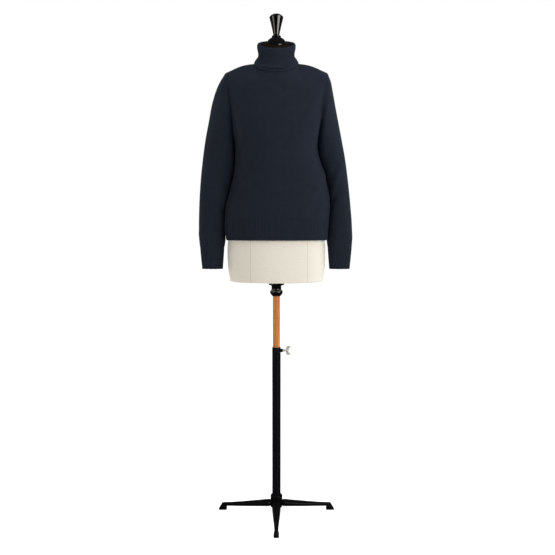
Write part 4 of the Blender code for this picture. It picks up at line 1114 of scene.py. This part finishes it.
def wool_knit():
    """Navy merino jersey: matt dyed yarn with a faint blue nap where light grazes it, and painted
    shade darkening the grooves between stitches.
    """
    material, shader = new_material("navy_wool_jersey")
    set_inputs(shader, {"Roughness": 0.95, "Specular IOR Level": 0.15, "Sheen Weight": 0.10,
                        "Sheen Roughness": 0.5})
    shader.inputs["Sheen Tint"].default_value = linear("7F93B5")
    link = material.node_tree.links.new
    knit_map = add(material, "ShaderNodeUVMap", uv_map="knit")
    parts = add(material, "ShaderNodeSeparateXYZ", links={"Vector": knit_map.outputs["UV"]})
    wale = add(material, "ShaderNodeMath", {1: 1 / WALE}, {0: parts.outputs["X"]},
               operation="MULTIPLY")
    course = add(material, "ShaderNodeMath", {1: 1 / COURSE}, {0: parts.outputs["Y"]},
                 operation="MULTIPLY")
    inside = add(material, "ShaderNodeMath", links={0: wale.outputs[0]}, operation="FRACT")
    centred = add(material, "ShaderNodeMath", {1: 0.5}, {0: inside.outputs[0]},
                  operation="SUBTRACT")
    off = add(material, "ShaderNodeMath", links={0: centred.outputs[0]}, operation="ABSOLUTE")
    slant = add(material, "ShaderNodeMath", {1: 1.3}, {0: off.outputs[0]}, operation="MULTIPLY")
    leg = add(material, "ShaderNodeMath", links={0: course.outputs[0], 1: slant.outputs[0]},
              operation="ADD")
    leg_turn = add(material, "ShaderNodeMath", {1: pi}, {0: leg.outputs[0]},
                   operation="MULTIPLY")
    leg_wave = add(material, "ShaderNodeMath", links={0: leg_turn.outputs[0]}, operation="SINE")
    leg_height = add(material, "ShaderNodeMath", links={0: leg_wave.outputs[0]},
                     operation="ABSOLUTE")
    column_turn = add(material, "ShaderNodeMath", {1: pi}, {0: wale.outputs[0]},
                      operation="MULTIPLY")
    column_wave = add(material, "ShaderNodeMath", links={0: column_turn.outputs[0]},
                      operation="SINE")
    column_height = add(material, "ShaderNodeMath", links={0: column_wave.outputs[0]},
                        operation="ABSOLUTE")
    stitch = add(material, "ShaderNodeMath",
                 links={0: leg_height.outputs[0], 1: column_height.outputs[0]},
                 operation="MULTIPLY")
    place = add(material, "ShaderNodeTexCoord")
    fuzz = add(material, "ShaderNodeTexNoise", {"Scale": 900, "Detail": 3, "Roughness": 0.6},
               {"Vector": place.outputs["Object"]})
    fuzzy = add(material, "ShaderNodeMath", {1: 0.35}, {0: fuzz.outputs["Fac"]},
                operation="MULTIPLY")
    relief = add(material, "ShaderNodeMath", links={0: stitch.outputs[0], 1: fuzzy.outputs[0]},
                 operation="ADD")
    bump = add(material, "ShaderNodeBump", {"Strength": 0.55, "Distance": 0.5 * MM},
               {"Height": relief.outputs[0]})
    link(bump.outputs["Normal"], shader.inputs["Normal"])
    patches = add(material, "ShaderNodeTexNoise", {"Scale": 55, "Detail": 4},
                  {"Vector": place.outputs["Object"]})
    tone = add(material, "ShaderNodeMath", {1: 0.5}, {0: patches.outputs["Fac"]},
               operation="MULTIPLY")
    # The stitch height lightens the stitch tops and darkens the grooves: painted shade, added to
    # the yarn's random tone.
    tone_and_groove_shade = add(material, "ShaderNodeMath", links={0: tone.outputs[0], 1: stitch.outputs[0]},
                operation="ADD")
    ramp = add(material, "ShaderNodeValToRGB", links={"Fac": tone_and_groove_shade.outputs[0]})
    ramp.color_ramp.elements[0].position = 0.05
    ramp.color_ramp.elements[0].color = linear("13171F")
    ramp.color_ramp.elements[1].position = 1.1
    ramp.color_ramp.elements[1].color = linear("1F2530")
    link(ramp.outputs["Color"], shader.inputs["Base Color"])
    return material


wool = wool_knit()


# %% Linen
LINEN_THREAD = 2.4 * MM    # real threads are near 0.8 mm; drawn coarser so the weave shows
PRINCESS_SEAMS = (-0.086, 0.104)   # the cover's long seams, front and back


def linen_cover():
    """Cream linen stretched on the form: uneven threads, matt, a little yellowed."""
    material, shader = new_material("cream_linen_cover")
    set_inputs(shader, {"Roughness": 0.88, "Specular IOR Level": 0.2, "Sheen Weight": 0.05})
    place = add(material, "ShaderNodeTexCoord")
    bumps = []
    for direction in ("X", "Z"):
        wave = add(material, "ShaderNodeTexWave",
                   {"Scale": 1 / LINEN_THREAD / 20 * pi, "Distortion": 0.6, "Detail": 2,
                    "Detail Scale": 1.5},
                   {"Vector": place.outputs["Object"]}, bands_direction=direction)
        bumps.append(wave.outputs["Fac"])
    weave = add(material, "ShaderNodeMath", links={0: bumps[0], 1: bumps[1]},
                operation="MULTIPLY")
    slubs = add(material, "ShaderNodeTexNoise", {"Scale": 240, "Detail": 5, "Roughness": 0.6},
                {"Vector": place.outputs["Object"]})
    relief = add(material, "ShaderNodeMath", links={0: weave.outputs[0],
                                                    1: slubs.outputs["Fac"]}, operation="ADD")
    parts = add(material, "ShaderNodeSeparateXYZ", links={"Vector": place.outputs["Object"]})
    seams = None
    for x in PRINCESS_SEAMS:
        off = add(material, "ShaderNodeMath", {1: x}, {0: parts.outputs["X"]},
                  operation="SUBTRACT")
        near = add(material, "ShaderNodeMath", links={0: off.outputs[0]}, operation="ABSOLUTE")
        groove = add(material, "ShaderNodeMapRange",
                     {"From Min": 0.3 * MM, "From Max": 1.3 * MM, "To Min": 1, "To Max": 0},
                     {"Value": near.outputs[0]}, interpolation_type="SMOOTHSTEP")
        seams = groove.outputs["Result"] if seams is None else add(
            material, "ShaderNodeMath", links={0: seams, 1: groove.outputs["Result"]},
            operation="MAXIMUM").outputs[0]
    sunk = add(material, "ShaderNodeMath", {1: 1.5}, {0: seams}, operation="MULTIPLY")
    height = add(material, "ShaderNodeMath", links={0: relief.outputs[0], 1: sunk.outputs[0]},
                 operation="SUBTRACT")
    bump = add(material, "ShaderNodeBump", {"Strength": 0.25, "Distance": 0.4 * MM},
               {"Height": height.outputs[0]})
    ramp = add(material, "ShaderNodeValToRGB", links={"Fac": slubs.outputs["Fac"]})
    ramp.color_ramp.elements[0].position = 0.3
    ramp.color_ramp.elements[0].color = linear("DDD8CB")
    ramp.color_ramp.elements[1].position = 0.75
    ramp.color_ramp.elements[1].color = linear("E6E1D5")
    darker = add(material, "ShaderNodeMath", {1: 0.45}, {0: seams}, operation="MULTIPLY")
    tint = add(material, "ShaderNodeMix", {"B": linear("A89C8A")},
               {"Factor": darker.outputs[0]}, data_type="RGBA")
    link = material.node_tree.links.new
    link(ramp.outputs["Color"], tint.inputs["A"])
    link(bump.outputs["Normal"], shader.inputs["Normal"])
    link(tint.outputs["Result"], shader.inputs["Base Color"])
    return material


linen = linen_cover()


# %% Hard finishes
def black_lacquer():
    """Turned beech under black gloss lacquer: deep black, sharp streaks of light."""
    material, shader = new_material("black_lacquered_beech")
    set_inputs(shader, {"Base Color": linear("060508"), "Roughness": 0.12,
                        "Coat Weight": 0.9, "Coat Roughness": 0.05})
    place = add(material, "ShaderNodeTexCoord")
    orange_peel = add(material, "ShaderNodeTexNoise", {"Scale": 260, "Detail": 2},
                      {"Vector": place.outputs["Object"]})
    bump = add(material, "ShaderNodeBump", {"Strength": 0.04, "Distance": 0.2 * MM},
               {"Height": orange_peel.outputs["Fac"]})
    material.node_tree.links.new(bump.outputs["Normal"], shader.inputs["Normal"])
    return material


def varnished_wood(name, dark, light, grain_length, gloss):
    """Varnished hardwood: grain along Z under a satin clear coat."""
    material, shader = new_material(name)
    set_inputs(shader, {"Roughness": 0.42, "Coat Weight": gloss, "Coat Roughness": 0.16,
                        "Specular IOR Level": 0.1 + gloss})
    place = add(material, "ShaderNodeTexCoord")
    stretched = add(material, "ShaderNodeMapping", {"Scale": (1.0, 1.0, 1 / grain_length)},
                    {"Vector": place.outputs["Object"]})
    grain = add(material, "ShaderNodeTexNoise", {"Scale": 260, "Detail": 6, "Roughness": 0.6,
                                                 "Distortion": 0.4},
                {"Vector": stretched.outputs["Vector"]})
    ramp = add(material, "ShaderNodeValToRGB", links={"Fac": grain.outputs["Fac"]})
    ramp.color_ramp.elements[0].position = 0.28
    ramp.color_ramp.elements[0].color = linear(dark)
    ramp.color_ramp.elements[1].position = 0.72
    ramp.color_ramp.elements[1].color = linear(light)
    bump = add(material, "ShaderNodeBump", {"Strength": 0.08, "Distance": 0.2 * MM},
               {"Height": grain.outputs["Fac"]})
    link = material.node_tree.links.new
    link(ramp.outputs["Color"], shader.inputs["Base Color"])
    link(bump.outputs["Normal"], shader.inputs["Normal"])
    return material


def painted_metal(name, colour, roughness, grit, strength):
    """Black paint on metal; the grit is that of the metal under it."""
    material, shader = new_material(name)
    set_inputs(shader, {"Base Color": linear(colour), "Roughness": roughness,
                        "Specular IOR Level": 0.3})
    place = add(material, "ShaderNodeTexCoord")
    noise = add(material, "ShaderNodeTexNoise", {"Scale": 1 / grit, "Detail": 4},
                {"Vector": place.outputs["Object"]})
    bump = add(material, "ShaderNodeBump", {"Strength": strength, "Distance": 0.3 * MM},
               {"Height": noise.outputs["Fac"]})
    material.node_tree.links.new(bump.outputs["Normal"], shader.inputs["Normal"])
    return material


def nickel_with_painted_reflection():
    """Nickel-plated steel, a little warm, with fine scratches from use; its diffuse whitish half
    is painted reflection of the lights.
    """
    material, shader = new_material("nickel_steel_painted_reflection")
    # Metallic at about a half leaves a whitish diffuse colour: painted reflection of the lights,
    # on the nickel's own light warm colour.
    set_inputs(shader, {"Base Color": linear("EDE8DE"), "Metallic": 0.55, "Roughness": 0.38})
    place = add(material, "ShaderNodeTexCoord")
    noise = add(material, "ShaderNodeTexNoise", {"Scale": 700, "Detail": 3},
                {"Vector": place.outputs["Object"]})
    bump = add(material, "ShaderNodeBump", {"Strength": 0.1, "Distance": 0.1 * MM},
               {"Height": noise.outputs["Fac"]})
    material.node_tree.links.new(bump.outputs["Normal"], shader.inputs["Normal"])
    return material


lacquer = black_lacquer()
varnish = varnished_wood("varnished_amber_beech", "A2581F", "DA954C", 20, 0.3)
# The neck plate's near-black brown is partly dark wood and partly painted shade on the neck top.
plate_wood_and_painted_shade = varnished_wood("dark_neck_plate_painted_shade", "0C0706", "21130B", 6, 0.05)
tube_paint = painted_metal("satin_black_painted_steel", "0E0D12", 0.3, 2.0 * MM, 0.06)
cast_paint = painted_metal("black_painted_cast_iron", "060608", 0.34, 3.0 * MM, 0.25)
nickel = nickel_with_painted_reflection()
finishes = (wool, linen, lacquer, varnish, plate_wood_and_painted_shade, tube_paint, cast_paint, nickel)
print("finishes:", [finish.name for finish in finishes])

# %% [markdown]
# ## Turned pieces
#
# A woodturner's piece is a profile turned round an axis. By hand in Blender it is a circle that
# is extruded ring by ring, each ring scaled to its radius, then rounded by a Subdivision
# Surface. Two rings close together keep an edge crisp.

# %% Turning by extruding rings
def start_piece(name):
    """Name the new primitive and go to edit mode with all of it selected."""
    piece = bpy.context.object
    piece.name = name
    piece.data.name = name
    bpy.ops.object.mode_set(mode="EDIT")
    bpy.ops.mesh.select_all(action="SELECT")
    return piece


def close_piece(piece, levels=0, bevel=0.0, segments=3):
    """Leave edit mode with the normals outward, and apply the rounding."""
    bpy.ops.mesh.select_all(action="SELECT")
    bpy.ops.mesh.normals_make_consistent(inside=False)
    bpy.ops.object.mode_set(mode="OBJECT")
    bpy.ops.object.transform_apply(location=True, rotation=True, scale=True)
    if bevel:
        soft = piece.modifiers.new("soft_edges", "BEVEL")
        soft.width, soft.segments, soft.angle_limit = bevel, segments, radians(35)
        bpy.ops.object.modifier_apply(modifier="soft_edges")
    if levels:
        rounding = piece.modifiers.new("rounding", "SUBSURF")
        rounding.levels = rounding.render_levels = levels
        bpy.ops.object.modifier_apply(modifier="rounding")
    bpy.ops.object.shade_smooth_by_angle(angle=radians(40))


def dress(piece, material, body, slot, *nodes):
    """Give a finished piece its material, the body it rides on and the node it stands for."""
    piece.data.materials.append(material)
    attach(piece, body)
    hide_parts(*nodes)
    print(piece.name, "faces:", len(piece.data.polygons))


def turned_piece(name, profile, sides=32, levels=2):
    """A piece turned round Z from pairs of radius and height. It ends in flat discs, or closes
    into a ring where its last pair is its first."""
    ring = profile[0] == profile[-1]
    radius, height = profile[0]
    bpy.ops.object.select_all(action="DESELECT")
    bpy.ops.mesh.primitive_circle_add(vertices=sides, radius=radius, location=(0, 0, height),
                                      fill_type="NOTHING" if ring else "NGON")
    piece = start_piece(name)
    if not ring:
        bpy.ops.mesh.inset(thickness=radius / 2)
        bpy.ops.mesh.select_all(action="DESELECT")
        bpy.ops.mesh.select_non_manifold(extend=False)
    for next_radius, next_height in profile[1:]:
        bpy.ops.mesh.extrude_region_move(
            TRANSFORM_OT_translate={"value": (0, 0, next_height - height)})
        share = next_radius / radius
        bpy.ops.transform.resize(value=(share, share, 1), center_override=(0, 0, next_height))
        radius, height = next_radius, next_height
    if ring:
        bpy.ops.mesh.select_all(action="SELECT")
        bpy.ops.mesh.remove_doubles(threshold=0.01 * MM)
    else:
        bpy.ops.mesh.edge_face_add()
        bpy.ops.mesh.inset(thickness=radius / 2)
    close_piece(piece, levels)
    return piece


# %% Finial and neck cap
FINIAL = [
    (0.0120, 1.6503), (0.0148, 1.6506), (0.0158, 1.6518), (0.0160, 1.6532), (0.0156, 1.6548),
    (0.0140, 1.6562), (0.0112, 1.6570), (0.0103, 1.6582), (0.0107, 1.6600), (0.0120, 1.6672),
    (0.0150, 1.6815), (0.0186, 1.6965), (0.0220, 1.7090), (0.0234, 1.7145), (0.0237, 1.7160),
    (0.0236, 1.7176), (0.0226, 1.7190), (0.0190, 1.7226), (0.0130, 1.7260), (0.0070, 1.7277),
    (0.0030, 1.7280),
]
NECK_CAP = [
    (0.0330, 1.5950), (0.0352, 1.5951), (0.0355, 1.5960), (0.0355, 1.6120), (0.0351, 1.6240),
    (0.0329, 1.6345), (0.0285, 1.6415), (0.0215, 1.6470), (0.0130, 1.6494), (0.0060, 1.6500),
]
CAP_FOOT_Z = 1.6340        # the cap sits on the neck's sloping top, this high at the axis
CAP_FOOT_SLOPE = 0.5

finial = turned_piece("turned_finial", FINIAL)
dress(finial, lacquer, "torso", "gloss_black_wood", "finial")
cap = turned_piece("turned_neck_cap", NECK_CAP)
bpy.ops.object.mode_set(mode="EDIT")
bpy.ops.mesh.select_all(action="SELECT")
bpy.ops.mesh.bisect(plane_co=(0, 0, CAP_FOOT_Z), plane_no=(0, -CAP_FOOT_SLOPE, 1),
                    use_fill=True, clear_inner=True)
close_piece(cap)
dress(cap, lacquer, "torso", "gloss_black_wood", "neck_cap")

# %% Boss, rod and tube
BOSS = [
    (0.0126, 0.8116), (0.0126, 0.8100), (0.0126, 0.7716), (0.0129, 0.7707), (0.0137, 0.7705),
    (0.0164, 0.7730), (0.0203, 0.7778), (0.0222, 0.7825), (0.0223, 0.7868), (0.0211, 0.7905),
    (0.0180, 0.7934), (0.0168, 0.7955), (0.0170, 0.7990), (0.0175, 0.8050), (0.0181, 0.8080),
    (0.0196, 0.8092), (0.0258, 0.8096), (0.0268, 0.8102), (0.0270, 0.8112), (0.0270, 0.8222),
    (0.0266, 0.8233), (0.0255, 0.8237), (0.0120, 0.8237),
]
ROD = [
    (0.0105, 0.3000), (0.0119, 0.3001), (0.0125, 0.3010), (0.0125, 0.3030), (0.0125, 0.8090),
    (0.0125, 0.8108), (0.0119, 0.8115), (0.0105, 0.8116),
]
TUBE = [
    (0.0128, 0.0152), (0.0151, 0.0152), (0.0152, 0.0160), (0.0152, 0.5885), (0.0151, 0.5898),
    (0.0143, 0.5900), (0.0131, 0.5900), (0.0128, 0.5892), (0.0128, 0.0152),
]
boss = turned_piece("turned_boss", BOSS)
dress(boss, lacquer, "torso", "gloss_black_wood", "boss")
rod = turned_piece("varnished_rod", ROD, levels=1)
dress(rod, varnish, "rod", "amber_wood", "wood_rod")
tube = turned_piece("steel_tube", TUBE, levels=1)
dress(tube, tube_paint, "stand", "satin_black_steel", "tube")

# %% [markdown]
# ## Clamp and base
#
# A thumbscrew goes through a small boss near the top of the tube and presses on the rod. The
# base is an iron casting: a round hub, and four arched legs that narrow outwards to flared
# feet. A casting's edges are round, so a Subdivision Surface rounds each bar, and each foot is
# bevelled.

# %% Clamp
CLAMP_Z = 0.578
CLAMP_BOSS = [
    (0.0029, 0.0147), (0.0060, 0.0147), (0.0065, 0.0151), (0.0065, 0.0219), (0.0060, 0.0226),
    (0.0033, 0.0226), (0.0029, 0.0222), (0.0029, 0.0147),
]
SCREW = [
    (0.0014, 0.0124), (0.0024, 0.0127), (0.0025, 0.0134), (0.0025, 0.0234), (0.0030, 0.0237),
    (0.0040, 0.0239), (0.0042, 0.0244), (0.0042, 0.0306), (0.0039, 0.0311), (0.0031, 0.0314),
    (0.0031, 0.0322), (0.0036, 0.0330), (0.0050, 0.0338), (0.0055, 0.0352), (0.0053, 0.0385),
    (0.0044, 0.0420), (0.0030, 0.0436), (0.0014, 0.0440),
]
WING_X = 0.0385            # the middle of a wing's root along the screw
WING_ROOT = (8 * MM, 4.4 * MM, 3 * MM)
# How a wing grows from its root: millimetres out, width and thickness shares, millimetres along
WING_STEPS = [(2.6, 1.4, 0.85, 1.4), (3.2, 1.35, 0.8, 1.8), (3.4, 1.12, 0.85, 1.6),
              (2.6, 0.82, 0.85, 0.8)]


def lay_along_x(piece):
    """Turn a piece that was made round Z so that it points along X at the clamp's height."""
    piece.rotation_euler = (0, pi / 2, 0)
    piece.location = (0, 0, CLAMP_Z)
    bpy.ops.object.transform_apply(location=True, rotation=True, scale=True)


clamp_boss = turned_piece("clamp_boss_ring", CLAMP_BOSS)
lay_along_x(clamp_boss)
dress(clamp_boss, tube_paint, "stand", "satin_black_steel", "clamp_boss")
screw = turned_piece("thumbscrew", SCREW, sides=24)
lay_along_x(screw)


def wing(name, up):
    """One ear of the thumbscrew: a flat root that widens and thins to a round tip."""
    bpy.ops.object.select_all(action="DESELECT")
    height = WING_ROOT[2]
    place = (WING_X, 0, CLAMP_Z + up * height)
    bpy.ops.mesh.primitive_cube_add(size=1, location=place)
    ear = start_piece(name)
    bpy.ops.transform.resize(value=WING_ROOT, center_override=place)
    bpy.ops.mesh.select_all(action="DESELECT")
    bpy.ops.object.mode_set(mode="OBJECT")
    for face in ear.data.polygons:
        face.select = face.normal.z * up > 0.9
    bpy.ops.object.mode_set(mode="EDIT")
    middle = WING_X
    for step, wide, thick, lean in WING_STEPS:
        bpy.ops.mesh.extrude_region_move(
            TRANSFORM_OT_translate={"value": (lean * MM, 0, up * step * MM)})
        height += step * MM
        middle += lean * MM
        bpy.ops.transform.resize(value=(wide, thick, 1),
                                 center_override=(middle, 0, CLAMP_Z + up * height))
    close_piece(ear, levels=2)
    return ear


ears = [wing("upper_wing", 1), wing("lower_wing", -1)]
bpy.ops.object.select_all(action="DESELECT")
for piece in (screw, *ears):
    piece.select_set(True)
bpy.context.view_layer.objects.active = screw
bpy.ops.object.join()
dress(screw, nickel, "clamp", "nickel", "wing_screw")

# %% Hub and legs
HUB = [
    (0.0125, 0.0147), (0.0154, 0.0147), (0.0155, 0.0155), (0.0155, 0.0520), (0.0158, 0.0527),
    (0.0164, 0.0528), (0.0196, 0.0528), (0.0206, 0.0524), (0.0212, 0.0512), (0.0213, 0.0450),
    (0.0210, 0.0425), (0.0209, 0.0380), (0.0214, 0.0345), (0.0216, 0.0310), (0.0216, 0.0112),
    (0.0210, 0.0102), (0.0120, 0.0101),
]
LegStep = namedtuple("LegStep", "reach half low top")
LEG_STEPS = [
    LegStep(0.0190, 0.0168, 0.0112, 0.0368), LegStep(0.0300, 0.0164, 0.0114, 0.0357),
    LegStep(0.0410, 0.0160, 0.0116, 0.0347), LegStep(0.0590, 0.0151, 0.0114, 0.0331),
    LegStep(0.0770, 0.0141, 0.0113, 0.0315), LegStep(0.1130, 0.0118, 0.0112, 0.0287),
    LegStep(0.1450, 0.0092, 0.0113, 0.0264), LegStep(0.1700, 0.0077, 0.0116, 0.0256),
    LegStep(0.1880, 0.0072, 0.0117, 0.0254), LegStep(0.1945, 0.0062, 0.0124, 0.0246),
    LegStep(0.1972, 0.0040, 0.0145, 0.0222),
]
# A foot's sections from its top down: where it starts and ends along the leg, and half its width
FootStep = namedtuple("FootStep", "z near far half")
FOOT_STEPS = [
    FootStep(0.0190, 0.1795, 0.1975, 0.0058), FootStep(0.0120, 0.1788, 0.2010, 0.0068),
    FootStep(0.0050, 0.1784, 0.2052, 0.0086), FootStep(0.0000, 0.1784, 0.2078, 0.0094),
]
LEGS = {"leg_left": 0, "leg_back": 90, "leg_right": 180, "leg_front": 270}

hub = turned_piece("cast_hub", HUB)
dress(hub, cast_paint, "stand", "black_cast_iron", "hub")


def cast_bar(name):
    """The bar of the leg along +X: a rounded section at the hub, extruded outwards."""
    first = LEG_STEPS[0]
    tall, middle = first.top - first.low, (first.top + first.low) / 2
    bpy.ops.object.select_all(action="DESELECT")
    bpy.ops.mesh.primitive_circle_add(vertices=12, radius=0.5, fill_type="NGON",
                                      location=(first.reach, 0, middle),
                                      rotation=(0, pi / 2, 0))
    bar = start_piece(name)
    bpy.ops.transform.resize(value=(1, 2 * first.half, tall),
                             center_override=(first.reach, 0, middle))
    before = first
    for step in LEG_STEPS[1:]:
        now = (step.top + step.low) / 2
        move = (step.reach - before.reach, 0, now - (before.top + before.low) / 2)
        bpy.ops.mesh.extrude_region_move(TRANSFORM_OT_translate={"value": move})
        share = (step.top - step.low) / (before.top - before.low)
        bpy.ops.transform.resize(value=(1, step.half / before.half, share),
                                 center_override=(step.reach, 0, now))
        before = step
    close_piece(bar, levels=2)
    return bar


def cast_foot(name):
    """The drop foot: a small plate extruded down, wider and longer at each step."""
    first = FOOT_STEPS[0]
    middle = (first.near + first.far) / 2
    bpy.ops.object.select_all(action="DESELECT")
    bpy.ops.mesh.primitive_plane_add(size=1, location=(middle, 0, first.z))
    foot = start_piece(name)
    bpy.ops.transform.resize(value=(first.far - first.near, 2 * first.half, 1),
                             center_override=(middle, 0, first.z))
    before = first
    for step in FOOT_STEPS[1:]:
        now = (step.near + step.far) / 2
        move = (now - (before.near + before.far) / 2, 0, step.z - before.z)
        bpy.ops.mesh.extrude_region_move(TRANSFORM_OT_translate={"value": move})
        share = (step.far - step.near) / (before.far - before.near)
        bpy.ops.transform.resize(value=(share, step.half / before.half, 1),
                                 center_override=(now, 0, step.z))
        before = step
    close_piece(foot, bevel=1.8 * MM, segments=4)
    return foot


def cast_leg(name):
    bar, foot = cast_bar(name), cast_foot(name + "_foot")
    bpy.ops.object.select_all(action="DESELECT")
    bar.select_set(True)
    foot.select_set(True)
    bpy.context.view_layer.objects.active = bar
    bpy.ops.object.join()
    return bar


legs = {"leg_left": cast_leg("cast_leg_left")}
for node, turn in LEGS.items():
    if node not in legs:
        bpy.ops.object.select_all(action="DESELECT")
        legs["leg_left"].select_set(True)
        bpy.context.view_layer.objects.active = legs["leg_left"]
        bpy.ops.object.duplicate()
        leg = bpy.context.object
        leg.name = leg.data.name = "cast_" + node
        leg.rotation_euler = (0, 0, radians(turn))
        bpy.ops.object.transform_apply(location=True, rotation=True, scale=True)
        legs[node] = leg
for node, leg in legs.items():
    dress(leg, cast_paint, "stand", "black_cast_iron", node)

# %% [markdown]
# ## Tell the frame what each piece is
#
# Every knitted piece rides on the torso and stands for its solid.

Cut = namedtuple("Cut", "width length area")
for name, piece in knit.items():
    piece.data.materials.append(wool)
    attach(piece, "torso")
    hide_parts(name)

torso.data.materials.append(linen)
torso.data.materials.append(plate_wood_and_painted_shade)
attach(torso, "torso")
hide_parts("dress_form")
